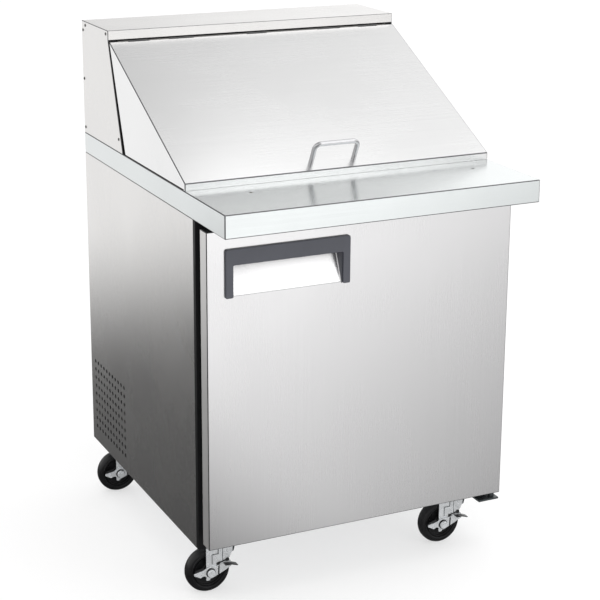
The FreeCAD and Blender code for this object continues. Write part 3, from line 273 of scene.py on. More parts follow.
MATERIALS = {
    "stainless": brushed("stainless_sheet"),
    "door_steel": brushed("stainless_door", colour=(0.715, 0.71, 0.715), grain="z"),
    # A lighter, rougher copy of the door steel for the door's side faces: painted light.
    "door_side_painted_light": brushed("stainless_door_side_painted_light", colour=(0.86, 0.85, 0.84), grain="z", roughness=0.5),
    "lid_steel": brushed("stainless_lid", colour=(0.78, 0.78, 0.78)),
    # Dark steel for the narrow faces of the folds: painted shade along the sheet edges.
    "painted_shade_fold": brushed("painted_shade_fold", colour=(0.13, 0.13, 0.135), roughness=0.35),
    "polished_top": polished("polished_worktop", (0.665, 0.69, 0.69), 0.17, 0.08),
    "pan_steel": brushed("stainless_pan", colour=(0.66, 0.66, 0.66), roughness=0.2),
    "liner_metal": brushed("liner_aluminium", colour=(0.80, 0.81, 0.82), grain="z", roughness=0.34),
    "foam": foamed("insulating_foam"),
    "core_board": boarded("plywood_core"),
    "black_plastic": moulded("black_breaker", (0.007, 0.007, 0.008), 0.5, shine=0.2),
    "gasket_rubber": rubber("gasket_rubber", roughness=0.6, shine=0.2),
    "grey_trim": moulded("grey_trim_plastic", (0.075, 0.078, 0.095), 0.40),
    "chrome_rod": polished("chromed_rod", (0.50, 0.50, 0.51), 0.06),
    "zinc_steel": plated("zinc_plated_steel"),
    "wheel_rubber": rubber("wheel_rubber"),
    "dark_screw": plated("blackened_screw", (0.13, 0.125, 0.12), 0.9),
    # Dark grey zinc: painted shade on the caster forks, and the dark tone of the door's hinge brackets.
    "dark_zinc": plated("shaded_zinc", (0.075, 0.085, 0.09), 0.6),
    "coil_fin": brushed("coil_fins", colour=(0.72, 0.74, 0.75), grain="z", roughness=0.35),
    "black_paint": painted("black_paint", (0.016, 0.016, 0.017)),
    "white_plastic": moulded("white_plastic", (0.72, 0.72, 0.70), 0.38, clouding=0.015),
    "coated_wire": painted("coated_wire", (0.62, 0.64, 0.65), 0.3),
    "fan_plastic": moulded("fan_plastic", (0.03, 0.03, 0.031), 0.4),
}


def dress_cad_nodes():
    """Each CAD node takes the material of its own slot."""
    for part in frame["record"]["subparts"]:
        node = NODES[part["node"]]
        node.data.materials.clear()
        node.data.materials.append(MATERIALS[part["material_slot"]])
    NODES["door_hinge_brackets"].data.materials[0] = MATERIALS["dark_zinc"]


# ---------------------------------------------------------------- mesh helpers

def from_bmesh(name, mesh_data):
    bmesh.ops.recalc_face_normals(mesh_data, faces=mesh_data.faces)
    mesh = bpy.data.meshes.new(name)
    mesh_data.to_mesh(mesh)
    mesh_data.free()
    made = bpy.data.objects.new(name, mesh)
    bpy.context.scene.collection.objects.link(made)
    return made


# For each axis: the two axes across it, in the order of an outline's points, and the axis itself.
AXES = {"x": (1, 2, 0), "y": (0, 2, 1), "z": (0, 1, 2)}
SHARP = math.radians(35)


def soften(outline, radius, *corners, steps=6):
    """The closed outline with the given corners rounded, or all of them when none is given."""
    softened = []
    for index, corner in enumerate(outline):
        if corners and index not in corners:
            softened.append(corner)
            continue
        here = Vector(corner)
        back = (Vector(outline[index - 1]) - here).normalized()
        ahead = (Vector(outline[(index + 1) % len(outline)]) - here).normalized()
        reach = radius / math.tan(back.angle(ahead) / 2)
        start, end = here + back * reach, here + ahead * reach
        for step in range(steps + 1):
            share = step / steps
            softened.append(tuple(start.lerp(here, share).lerp(here.lerp(end, share), share)))
    return softened


def prism(name, outline, axis, start, end):
    """A closed outline extruded along an axis; its points are in the other two axes' order."""
    first, second, along = AXES[axis]
    data = bmesh.new()
    rings = []
    for place in (start, end):
        ring = []
        for across, up in outline:
            corner = [0.0, 0.0, 0.0]
            corner[first], corner[second], corner[along] = across, up, place
            ring.append(data.verts.new(corner))
        rings.append(ring)
    data.faces.new(rings[0])
    data.faces.new(rings[1])
    for index in range(len(outline)):
        after = (index + 1) % len(outline)
        data.faces.new((rings[0][index], rings[0][after], rings[1][after], rings[1][index]))
    return from_bmesh(name, data)


def block(name, corner, opposite):
    """A box from two opposite corners."""
    (x0, y0, z0), (x1, y1, z1) = corner, opposite
    return prism(name, [(x0, y0), (x1, y0), (x1, y1), (x0, y1)], "z", z0, z1)


def drum(name, centre, radius, axis, start, end, steps=48):
    """A cylinder along an axis, or a prism of few sides where steps is small."""
    outline = []
    for index in range(steps):
        angle = 2 * math.pi * index / steps
        outline.append((centre[0] + radius * math.cos(angle), centre[1] + radius * math.sin(angle)))
    return prism(name, outline, axis, start, end)


def lathe(name, profile, centre, axis="y", steps=72):
    """A profile of (radius, place along the axis) turned about the axis through centre."""
    first, second, along = AXES[axis]
    data = bmesh.new()
    rings = []
    for step in range(steps):
        angle = 2 * math.pi * step / steps
        ring = []
        for radius, place in profile:
            corner = list(centre)
            corner[first] += radius * math.cos(angle)
            corner[second] += radius * math.sin(angle)
            corner[along] += place
            ring.append(data.verts.new(corner))
        rings.append(ring)
    for step in range(steps):
        here, there = rings[step], rings[(step + 1) % steps]
        for index in range(len(profile)):
            after = (index + 1) % len(profile)
            data.faces.new((here[index], here[after], there[after], there[index]))
    return from_bmesh(name, data)


def settle(piece):
    """Apply the piece's modifiers."""
    graph = bpy.context.evaluated_depsgraph_get()
    mesh = bpy.data.meshes.new_from_object(piece.evaluated_get(graph))
    piece.modifiers.clear()
    piece.data = mesh
    return piece


def fold(piece, width, look, segments=4):
    """Rounded sheet-metal folds, whose narrow faces take a dark steel: painted shade along every folded edge.
    """
    for material in (MATERIALS[look], MATERIALS["painted_shade_fold"]):
        piece.data.materials.append(material)
    return bevel(piece, width, segments, line=1)


def bevel(piece, width, segments=3, angle=30, line=-1):
    """Round the edges sharper than the angle; the new faces take the material numbered line, if any."""
    made = piece.modifiers.new("bevel", "BEVEL")
    made.material = line
    made.width = width
    made.segments = segments
    made.limit_method = "ANGLE"
    made.angle_limit = math.radians(angle)
    return settle(piece)


def carve(piece, cutter):
    """Take the cutter's volume out of the piece."""
    made = piece.modifiers.new("carve", "BOOLEAN")
    made.operation = "DIFFERENCE"
    made.solver = "EXACT"
    made.object = cutter
    settle(piece)
    bpy.data.objects.remove(cutter)


def gather(name, pieces):
    """One object that holds several separate solids, with the first one's materials."""
    data = bmesh.new()
    materials = list(pieces[0].data.materials)
    for piece in pieces:
        data.from_mesh(piece.data)
        bpy.data.objects.remove(piece)
    made = from_bmesh(name, data)
    for material in materials:
        made.data.materials.append(material)
    return made


def smooth(piece):
    """Shade the faces as one surface, except across edges sharper than SHARP."""
    for face in piece.data.polygons:
        face.use_smooth = True
    piece.data.set_sharp_from_angle(angle=SHARP)
    weighted = piece.modifiers.new("even shading", "WEIGHTED_NORMAL")
    weighted.keep_sharp = True


def finish_piece(piece, body, slot, *nodes, look=None):
    """Shade the piece, give it the material of its look or slot unless it has its own, put it on its body, and
    hide the CAD nodes that it stands for.
    """
    smooth(piece)
    if not piece.data.materials:
        piece.data.materials.append(MATERIALS[look or slot])
    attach(piece, body)
    if nodes:
        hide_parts(*nodes)
    return piece


# ---------------------------------------------------------------- worktop

FRONT_EDGE = low("worktop_skin").y
WORK_HEIGHT = high("worktop_skin").z
HALF_WIDTH = high("worktop_skin").x
BOARD_HOLES = (-244.7 * MM, 289.2 * MM)
BOARD_HOLE_Y = FRONT_EDGE + 150 * MM
BOARD_HOLE_RADIUS = 3.5 * MM
BOARD_HOLE_DEPTH = 5 * MM


def worktop():
    """The folded top: rounded edges and corners, closed underneath where it overhangs the door."""
    bottom, top = low("worktop_skin"), high("worktop_skin")
    well_low, well_high = low("pan_well_frame"), high("pan_well_frame")
    sheet = fold(block("worktop_sheet", bottom, top), 2.0 * MM, "polished_top")
    past = 10 * MM
    well_bottom = (well_low.x, well_low.y, bottom.z - past)
    carve(sheet, block("well", well_bottom, (well_high.x, well_high.y, top.z + past)))
    for x in BOARD_HOLES:
        ends = (top.z - BOARD_HOLE_DEPTH, top.z + BOARD_HOLE_DEPTH)
        carve(sheet, drum("board_hole", (x, BOARD_HOLE_Y), BOARD_HOLE_RADIUS, "z", *ends, 24))
    finish_piece(sheet, "root", "polished_top", "worktop_skin")


# ---------------------------------------------------------------- hood

HINGE_Y, HINGE_Z = (frame["joints"][0]["pos_m"][axis] for axis in (1, 2))
HOOD_BASE = FRONT_EDGE + 594.5 * MM
HOOD_WALL = 20 * MM
BARREL = 3.6 * MM
HOOD_KNUCKLES = (-295 * MM, 0, 295 * MM)
HOOD_KNUCKLE_HALF = 25 * MM


def hood():
    """A full-width cap, bent down at the front and back, over two side walls with a leaning front edge."""
    hood_low, hood_high = low("hood_cover"), high("hood_cover")
    hood_front = HINGE_Y + 5 * MM
    strip_low = HINGE_Z + 5 * MM
    rear, top = hood_high.y, hood_high.z
    cap_half = HALF_WIDTH - 0.4 * MM
    folded = [
        (rear, WORK_HEIGHT), (rear, top), (hood_front, top), (hood_front, strip_low),
        (hood_front + HOOD_WALL, strip_low), (hood_front + HOOD_WALL, top - HOOD_WALL),
        (rear - HOOD_WALL, top - HOOD_WALL), (rear - HOOD_WALL, WORK_HEIGHT),
    ]
    cap = fold(prism("hood_cap", folded, "x", -cap_half, cap_half), 1.5 * MM, "stainless")
    inset = 0.5 * MM
    wall = [
        (HOOD_BASE, WORK_HEIGHT), (rear - inset, WORK_HEIGHT), (rear - inset, top - inset),
        (hood_front + inset, top - inset), (hood_front + inset, HINGE_Z + 2 * MM),
    ]
    walls = []
    for side in (-1, 1):
        ends = sorted((side * HALF_WIDTH, side * (HALF_WIDTH - HOOD_WALL)))
        walls.append(fold(prism("hood_wall", wall, "x", *ends), 1.0 * MM, "stainless"))
    finish_piece(gather("hood_shell", [cap, *walls]), "root", "stainless", "hood_cover", "hood_sides")
    hood_edge_shadow_strips(hood_front, strip_low)
    tongue_back, tongue_top = HINGE_Y + 9.5 * MM, HINGE_Z - 0.1 * MM
    tongue = [(HINGE_Y, tongue_top - GAUGE), (tongue_back, tongue_top - GAUGE),
              (tongue_back, tongue_top), (HINGE_Y, tongue_top)]
    hinge_barrels("hood_hinge_barrels", HOOD_KNUCKLES, HOOD_KNUCKLE_HALF, tongue, "root")


def hinge_barrels(name, middles, half_length, web, body):
    """Rolled barrels on the hinge line, each with the web that holds it, in black: painted shade for the dark
    gap along the hinge.
    """
    made = []
    for middle in middles:
        ends = (middle - half_length, middle + half_length)
        made.append(drum("barrel", (HINGE_Y, HINGE_Z), BARREL, "x", *ends, 32))
        made.append(prism("barrel_web", web, "x", *ends))
    # Black paint on the barrels is painted shade for the hinge gap.
    finish_piece(gather(name, made), body, "dark_screw", look="black_paint")


def hood_edge_shadow_strips(hood_front, strip_low):
    """Painted shade: black strips behind the hinge line and along the hood's leaning front edges, standing in
    for the shadow in those gaps.
    """
    half = HALF_WIDTH - HOOD_WALL - 1 * MM
    backing = block("hinge_shadow_strip", (-half, HINGE_Y + 9 * MM, HINGE_Z - 12 * MM),
                    (half, hood_front + HOOD_WALL - 1 * MM, strip_low + 0.2 * MM))
    lean = (Vector((hood_front, HINGE_Z + 2 * MM)) - Vector((HOOD_BASE, WORK_HEIGHT))).normalized()
    forward = Vector((-lean.y, lean.x)) * 1.5 * MM
    foot = Vector((HOOD_BASE, WORK_HEIGHT)) + lean * 1 * MM
    head = Vector((hood_front, HINGE_Z + 2 * MM)) + lean * 3 * MM
    strip = [tuple(foot + forward), tuple(foot - forward), tuple(head - forward), tuple(head + forward)]
    shadow_strips = [backing]
    for side in (-1, 1):
        ends = sorted((side * (HALF_WIDTH - 1.5 * MM), side * (HALF_WIDTH - HOOD_WALL + 1 * MM)))
        shadow_strips.append(prism("lean_shadow_strip", strip, "x", *ends))
    # The strips take the black gasket rubber as painted shade for the gaps.
    finish_piece(gather("hood_edge_shadow_strips", shadow_strips), "root", "gasket_rubber")


def hood_screws():
    """Domed pan heads on both sides of the hood, placed as in the CAD."""
    top, rear = high("hood_cover").z, high("hood_cover").y
    edge = 9 * MM
    places = [
        (rear - edge, top - 22 * MM), (rear - edge, top - 138 * MM), (rear - edge, WORK_HEIGHT + 14 * MM),
        (rear - 26 * MM, top - edge), (HINGE_Y + 20 * MM, top - edge),
        (HOOD_BASE + 24 * MM, WORK_HEIGHT + 30 * MM),
    ]
    heads = []
    for y, z in places:
        for side in (-1, 1):
            x = side * HALF_WIDTH
            dome = [(0.0, 0.0), (3.6 * MM, 0.0), (3.5 * MM, side * 0.7 * MM), (2.6 * MM, side * 1.35 * MM),
                    (1.4 * MM, side * 1.6 * MM), (0.0, side * 1.6 * MM)]
            heads.append(lathe("screw_head", dome, (x, y, z), "x", 24))
    finish_piece(gather("hood_screw_heads", heads), "root", "dark_screw", "hood_screws")


# ---------------------------------------------------------------- lid

LID_NOSE = low("lid_shell").y
LID_LOW = low("lid_shell").z
LID_HALF = high("lid_shell").x
LID_CHEEK = FRONT_EDGE + 579 * MM
SLOPE = math.atan2(HINGE_Z - WORK_HEIGHT - 13.5 * MM, HINGE_Y - LID_NOSE)


def lid_point(along, lift):
    """A (y, z) point on the lid's side view: along the slope from the hinge axis, lifted square to it."""
    return (HINGE_Y - math.cos(SLOPE) * along - math.sin(SLOPE) * lift,
            HINGE_Z - math.sin(SLOPE) * along + math.cos(SLOPE) * lift)


def lid():
    """A folded steel cover on a foam core, open underneath, with black strips of painted shade where it meets
    the table.
    """
    length = (HINGE_Y - LID_NOSE) / math.cos(SLOPE)
    top_rear, nose_top = lid_point(0, 2 * MM), lid_point(length - 1 * MM, 2 * MM)
    run_out = 6 * MM
    cheek_foot = LID_CHEEK - run_out * (top_rear[0] - LID_CHEEK) / (top_rear[1] - LID_LOW)
    foot = LID_LOW - run_out
    side_view = [top_rear, (LID_NOSE, nose_top[1]), (LID_NOSE, foot), (cheek_foot, foot)]
    cover = fold(prism("lid_cover", side_view, "x", -LID_HALF, LID_HALF), 1.8 * MM, "lid_steel")
    reach = 30 * MM
    rear_inside = lid_point(-reach, 2 * MM - GAUGE)
    nose_inside = lid_point(length - 1 * MM - GAUGE, 2 * MM - GAUGE)
    hollow = [rear_inside, (LID_NOSE + GAUGE, nose_inside[1]), (LID_NOSE + GAUGE, LID_LOW - reach),
              (LID_CHEEK + reach, LID_LOW - reach)]
    inside = LID_HALF - GAUGE
    carve(cover, prism("lid_hollow", hollow, "x", -inside, inside))
    for middle in HOOD_KNUCKLES:
        notch = (middle - HOOD_KNUCKLE_HALF - 1 * MM, middle + HOOD_KNUCKLE_HALF + 1 * MM)
        carve(cover, drum("knuckle_notch", (HINGE_Y, HINGE_Z), BARREL + 0.6 * MM, "x", *notch, 32))
    rim = WORK_HEIGHT + 0.3 * MM
    carve(cover, block("under_lid", (-1, -1, 0), (1, 1, rim)))
    carve(cover, block("under_sides", (-1, LID_NOSE + 6 * MM, 0), (1, 1, LID_LOW + 0.8 * MM)))
    finish_piece(cover, "lid", "lid_steel", "lid_shell")
    web = [lid_point(along * MM, lift * MM) for along, lift in ((0, 1), (0, 1.8), (14, 1.8), (14, 1))]
    hinge_barrels("lid_hinge_barrels", (-190 * MM, 190 * MM), 30 * MM, web, "lid")
    lid_edge_shadow_strips(top_rear)


def lid_edge_shadow_strips(top_rear):
    """Painted shade: black strips under the lid's rim and up its leaning rear edges, standing in for the
    shadow in the gaps where the lid meets the table.
    """
    half = LID_HALF - GAUGE - 0.05 * MM
    wall = 19 * MM
    under, over = WORK_HEIGHT + 0.3 * MM, LID_LOW + 1.5 * MM
    nose = LID_NOSE + 1.6 * MM
    rim = [block("rim_shadow_strip_front", (-half, nose, under), (half, nose + wall, over))]
    lean = (Vector(top_rear) - Vector((LID_CHEEK, LID_LOW))).normalized()
    rearward = Vector((lean.y, -lean.x)) * 1.5 * MM
    foot = Vector((LID_CHEEK, LID_LOW)) - lean * 1 * MM
    head = Vector(top_rear) - lean * 7 * MM
    strip = [tuple(foot - rearward), tuple(foot + rearward), tuple(head + rearward), tuple(head - rearward)]
    for side in (-1, 1):
        ends = sorted((side * half, side * (half - wall)))
        rim.append(block("rim_shadow_strip_side", (ends[0], nose + wall, under), (ends[1], LID_CHEEK, over)))
        rim.append(prism("cheek_shadow_strip", strip, "x", *ends))
    finish_piece(gather("lid_edge_shadow_strips", rim), "lid", "gasket_rubber")


# ---------------------------------------------------------------- cabinet

def vent_painted_shade():
    """Painted shade: a black sheet close behind the louvres of each side panel, so the holes show dark."""
    sheet = high("side_panel_right").x - GAUGE
    back, floor = low("machine_grille").y, high("base_panel").z
    room_front = back - 262 * MM
    roof = low("back_panel").z
    shade_sheets = []
    for side in (-1, 1):
        ends = sorted((side * (sheet - 1.4 * MM), side * (sheet - 0.4 * MM)))
        corner = (ends[0], room_front, floor + 0.5 * MM)
        shade_sheets.append(block("shade_sheet", corner, (ends[1], back - 0.5 * MM, roof - 1 * MM)))
    finish_piece(gather("vent_painted_shade", shade_sheets), "root", "black_plastic", look="gasket_rubber")


# ---------------------------------------------------------------- door

DOOR_FACE = low("door_skin").y
PULL_LOW, PULL_HIGH = low("door_handle_trim"), high("door_handle_trim")
PULL_BAR = 35 * MM
PULL_LEG = 17 * MM
RECESS = (PULL_LOW.x + PULL_LEG, PULL_HIGH.x - PULL_LEG)


def scoop(name, start, end, deep=25 * MM, lead=10 * MM):
    """The finger recess's side view: upright behind the bar, sloping out to the face at its foot."""
    knee = PULL_HIGH.z - PULL_BAR - 8 * MM
    ceiling = PULL_HIGH.z - 6 * MM
    view = [(DOOR_FACE - lead, PULL_LOW.z), (DOOR_FACE, PULL_LOW.z), (DOOR_FACE + deep, knee),
            (DOOR_FACE + deep, ceiling), (DOOR_FACE - lead, ceiling)]
    return prism(name, view, "x", start, end)


def door():
    """A folded steel panel with a pressed finger recess and bored corners for the hinge pins."""
    bottom, top = low("door_skin"), high("door_skin")
    panel = fold(block("door_panel", bottom, (top.x, top.y - 1 * MM, top.z)), 1.8 * MM, "door_steel")
    panel.data.materials.append(MATERIALS["door_side_painted_light"])
    # The door's left and right faces take the lighter copy of its steel: painted light.
    for face in panel.data.polygons:
        if abs(face.normal.x) > 0.9 and face.material_index == 0:
            face.material_index = 2
    carve(panel, bevel(scoop("recess", *RECESS), 5 * MM, 5))
    pivot = (low("door_bushings") + high("door_bushings")) / 2
    for start, end in ((bottom.z - 5 * MM, bottom.z + 20 * MM), (top.z - 20 * MM, top.z + 5 * MM)):
        carve(panel, drum("pin_bore", (pivot.x, pivot.y), 7.1 * MM, "z", start, end))
    finish_piece(panel, "door", "stainless", "door_skin")


def door_trim():
    """The moulded surround: a bar over two legs with rounded corners, and a cheek inside each leg."""
    left, right, foot, head = PULL_LOW.x, PULL_HIGH.x, PULL_LOW.z, PULL_HIGH.z
    arch = [
        (left, foot), (left + PULL_LEG, foot), (left + PULL_LEG, head - PULL_BAR),
        (right - PULL_LEG, head - PULL_BAR), (right - PULL_LEG, foot),
        (right, foot), (right, head), (left, head),
    ]
    arch = soften(soften(arch, 6 * MM, 6, 7), 3.5 * MM, 0, 1, 2, 3, 4, 5)
    face = bevel(prism("trim_face", arch, "y", PULL_LOW.y, DOOR_FACE), 1.6 * MM, 4, 50)
    pieces = [face]
    thick = 2 * MM
    for start in (RECESS[0], RECESS[1] - thick):
        pieces.append(scoop("trim_cheek", start, start + thick, 24.5 * MM, 0.5 * MM))
    pieces.append(block("trim_lip", (RECESS[0], DOOR_FACE - 1 * MM, head - PULL_BAR),
                        (RECESS[1], DOOR_FACE + 4 * MM, head - 8 * MM)))
    finish_piece(gather("door_pull_trim", pieces), "door", "grey_trim", "door_handle_trim")


# ---------------------------------------------------------------- pans

PAN_ROWS, PAN_COLUMNS = 3, 4
ROW_GAP, COLUMN_GAP = 3 * MM, 1.6 * MM
PAN_RIM = 9 * MM


def food_pans():
    """Pressed pans with rounded corners, a turned rim and a dished floor."""
    bottom, top = low("food_pans"), high("food_pans")
    pitch_x = (top.x - bottom.x + COLUMN_GAP) / PAN_COLUMNS
    pitch_y = (top.y - bottom.y + ROW_GAP) / PAN_ROWS
    wide, long = pitch_x - COLUMN_GAP, pitch_y - ROW_GAP
    pans = []
    for row in range(PAN_ROWS):
        for column in range(PAN_COLUMNS):
            x, y = bottom.x + pitch_x * column, bottom.y + pitch_y * row
            pans.append(pan((x, y), (x + wide, y + long), bottom.z, top.z))
    finish_piece(gather("pan_set", pans), "root", "pan_steel", "food_pans")


def oblong(corner, opposite, inset, radius):
    """A rectangle drawn in by an inset, with rounded corners."""
    (x0, y0), (x1, y1) = corner, opposite
    left, right, near, far = x0 + inset, x1 - inset, y0 + inset, y1 - inset
    return soften([(left, near), (right, near), (right, far), (left, far)], radius)


def pan(corner, opposite, floor, top):
    """One pan: nested rounded outlines, stitched from its underside up round the rim and down to the floor."""
    rim, rim_low = PAN_RIM, top - GAUGE
    levels = [
        (rim + 4 * MM, floor, 14 * MM), (rim + 1 * MM, floor + 3 * MM, 16 * MM), (rim, rim_low, 16 * MM),
        (0.0, rim_low, 8 * MM), (0.4 * MM, top, 8 * MM), (rim + 0.6 * MM, top, 16 * MM),
        (rim + 1.6 * MM, rim_low - 1 * MM, 16 * MM), (rim + 2.2 * MM, floor + 5 * MM, 16 * MM),
        (rim + 6 * MM, floor + GAUGE, 13 * MM),
    ]
    data = bmesh.new()
    rings = []
    for inset, z, radius in levels:
        rings.append([data.verts.new((x, y, z)) for x, y in oblong(corner, opposite, inset, radius)])
    for below, above in zip(rings, rings[1:]):
        for index in range(len(below)):
            after = (index + 1) % len(below)
            data.faces.new((below[index], below[after], above[after], above[index]))
    data.faces.new(rings[0])
    data.faces.new(rings[-1])
    return from_bmesh("pan", data)


# ---------------------------------------------------------------- casters

# The shapes below are in millimetres from the wheel's centre: X to the right, Y to the back, Z up.
CASTER_NAMES = ("front_left", "front_right", "rear_left", "rear_right")
LEG_FACE = 20
LEG_THICK = 2.5
SWIVEL = 34
SADDLE = 59.5
RIB_TOP = 56


def fork_piece():
    """A pressed fork: two tapered legs with ribs and a raised square, a saddle and the swivel race."""
    leg = [(-9, SADDLE), (-9, -20), (-1, -20), (4, -11), (13, -8), (38, 10), (47, 28), (56, 45), (56, SADDLE)]
    leg = soften(leg, 3, 1, 2, 3, 4, 5, 6, 7, steps=4)
    pieces = []
    for side in (-1, 1):
        outer = side * LEG_FACE
        ends = sorted((outer, outer - side * LEG_THICK))
        pieces.append(bevel(prism("fork_leg", leg, "y", *ends), 0.7, 2, 50))
        proud = sorted((outer - side * 0.5, outer + side * 1.2))
        pieces.append(bevel(block("fork_square", (6, proud[0], 42), (18, proud[1], 53)), 0.8, 2))
        for left, foot in ((25, 16), (40, 28)):
            rib = block("fork_rib", (left, proud[0], foot), (left + 4, proud[1], RIB_TOP))
            pieces.append(bevel(rib, 1.1, 2))
    saddle = block("fork_saddle", (-9, -LEG_FACE, SADDLE - 3.5), (56, LEG_FACE, SADDLE))
    pieces.append(bevel(saddle, 1.5, 3))
    pieces.append(bevel(drum("swivel_disc", (SWIVEL, 0), 27, "z", SADDLE - 1.5, SADDLE + 1.5), 0.8, 2))
    pieces.append(bevel(drum("swivel_race", (SWIVEL, 0), 24, "z", SADDLE + 1.5, SADDLE + 5), 1.2, 3))
    return gather("fork", pieces)


def fork_painted_shade_piece():
    """Painted shade on the fork: the turned-in flange in dark for its shaded side, and dark strips for the
    shadow at the steps around the pressed square and beside a rib.
    """
    pieces = []
    for side in (-1, 1):
        outer = side * LEG_FACE
        proud = sorted((outer - side * 0.5, outer + side * 0.35))
        depth = sorted((outer + side * 0.3, outer - side * 8))
        flange = [(53.5, 40), (56.5, 41.5), (60.5, SADDLE - 1), (54.5, SADDLE - 1)]
        pieces.append(prism("flange", flange, "y", *depth))
        pieces.append(block("square_side", (18.2, proud[0], 41), (20.2, proud[1], 53)))
        pieces.append(block("square_foot", (4, proud[0], 39.8), (20.2, proud[1], 41.6)))
        pieces.append(block("step", (4, proud[0], 18), (5.4, proud[1], 40)))
        pieces.append(block("rib_side", (29.2, proud[0], 20), (30.4, proud[1], 55)))
    return gather("fork_painted_shade", pieces)


def axle_piece():
    """A bolt through the hub with a round head with a rounded edge in front, on a washer, and a hexagon nut
    behind.
    """
    shank = drum("axle_shank", (0, 0), 5, "y", -LEG_FACE - 4, LEG_FACE + 6, 32)
    washer = bevel(drum("axle_washer", (0, 0), 7, "y", -LEG_FACE - 5.5, -LEG_FACE - 3.2), 0.4, 2)
    head = bevel(drum("axle_head", (0, 0), 9, "y", -LEG_FACE - 10.2, -LEG_FACE - 5.5), 1.6, 3)
    nut = bevel(drum("axle_nut", (0, 0), 8.5, "y", LEG_FACE, LEG_FACE + 5, 6), 0.8, 3)
    return gather("axle", [shank, washer, head, nut])


def wheel_piece():
    """A solid rubber tyre with a rounded tread and stepped rings on each face, on a plain hub."""
    face = [(5.05, 16.5), (11, 16.5), (12.2, 15.6), (12.8, 9), (14.5, 7), (29, 7), (31, 8), (32.5, 11.5),
            (34, 12), (35, 10.5), (36, 10.5), (37.5, 14), (39, 15), (41.5, 15), (42.3, 13.6), (43.5, 13.8),
            (46.5, 13), (49.2, 10.6), (50.6, 7), (51, 3)]
    return lathe("wheel", face + [(radius, -place) for radius, place in reversed(face)], (0, 0, 0), "y", 96)


def brake_pieces():
    """The brake lever: a tilted steel plate with a wide right end, and its dark pad, tread and spring; the
    black tread, the black ring round the bolt and the black strip in the groove are painted shade.
    """
    near, far = -LEG_FACE - 3.1, -LEG_FACE - 0.6
    plate = [
        (-39, 3.5), (-36, 4.5), (-16, 8), (-10, 12), (0, 14), (13, 14), (22, 15), (48, 21), (50, 7),
        (31, -2.5), (13, -10), (4, -14), (-8, -13), (-12, -7), (-18, -6), (-24, -9), (-31, -5), (-39, -1),
    ]
    lever = bevel(prism("lever", soften(plate, 1.2, steps=3), "y", near, far), 0.6, 2, 50)
    boss = bevel(drum("lever_boss", (0, 0), 12, "y", near - 0.1, near + 0.4), 0.2, 1)
    # The tread is black for the shade on its underside: painted shade.
    tread = [(31, 15), (46, 14.5), (61, 10), (61.5, 12), (47, 17.5), (31, 18)]
    tread = bevel(prism("lever_tread", soften(tread, 1, steps=3), "y", near - 11, far), 0.6, 2, 50)
    pad = prism("lever_pad", [(-36, 4), (-16, 8), (-16, 14), (-36, 9)], "y", far - 1.5, far + 2.2)
    pad = bevel(pad, 0.8, 2)
    # A black ring round the bolt: painted shadow.
    ring = [(6, near - 1.4), (11, near - 1.4), (11, near), (6, near)]
    ring = lathe("bolt_shadow_ring", ring, (0, 0, 0), "y", 48)
    # A black strip in the lever's groove: painted shade.
    groove = [(17, -7.5), (20.5, -6), (21.5, 13.6), (18, 13)]
    groove = prism("lever_groove", groove, "y", near - 0.3, near + 0.2)
    spring = [bevel(drum("spring", (19, 17), 4, "y", far - 1, far + 0.4, 24), 0.5, 2),
              bevel(drum("spring", (41, 23), 4.5, "y", far - 1, far + 0.4, 24), 0.5, 2),
              prism("spring_arm", [(19, 17), (41, 22), (41, 25), (19, 20.5)], "y", far - 0.8, far + 0.3)]
    return gather("lever", [lever, boss]), gather("lever_dark", [tread, pad, ring, groove, *spring])


def placed(name, source, centre):
    """A copy of a millimetre shape, put at a wheel's centre."""
    mesh = source.data.copy()
    mesh.transform(Matrix.Translation(centre) @ Matrix.Scale(MM, 4))
    made = bpy.data.objects.new(name, mesh)
    bpy.context.scene.collection.objects.link(made)
    return made


def casters():
    lever, lever_dark = brake_pieces()
    shapes = {"fork": (fork_piece(), "zinc_steel"), "axle": (axle_piece(), "zinc_steel"),
              "wheel": (wheel_piece(), "wheel_rubber"), "brake": (lever, "zinc_steel")}
    # Dark copies on each caster: the fork's painted shade, and the lever's black parts, whose tread, bolt ring
    # and groove strip are painted shade.
    dark_shapes = {"fork": (fork_painted_shade_piece(), "dark_zinc"), "brake": (lever_dark, "black_paint")}
    for corner in CASTER_NAMES:
        wheel = f"caster_wheel_{corner}"
        centre = (low(wheel) + high(wheel)) / 2
        for kind, (shape, slot) in shapes.items():
            node = f"caster_{kind}_{corner}"
            finish_piece(placed(f"{kind}_{corner}", shape, centre), NODES[node]["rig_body"], slot, node)
        for kind, (shape, look) in dark_shapes.items():
            body = NODES[f"caster_{kind}_{corner}"]["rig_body"]
            finish_piece(placed(f"{kind}_dark_{corner}", shape, centre), body, "zinc_steel", look=look)
    for shape, _ in (*shapes.values(), *dark_shapes.values()):
        bpy.data.objects.remove(shape)


# ---------------------------------------------------------------- stage, light and camera

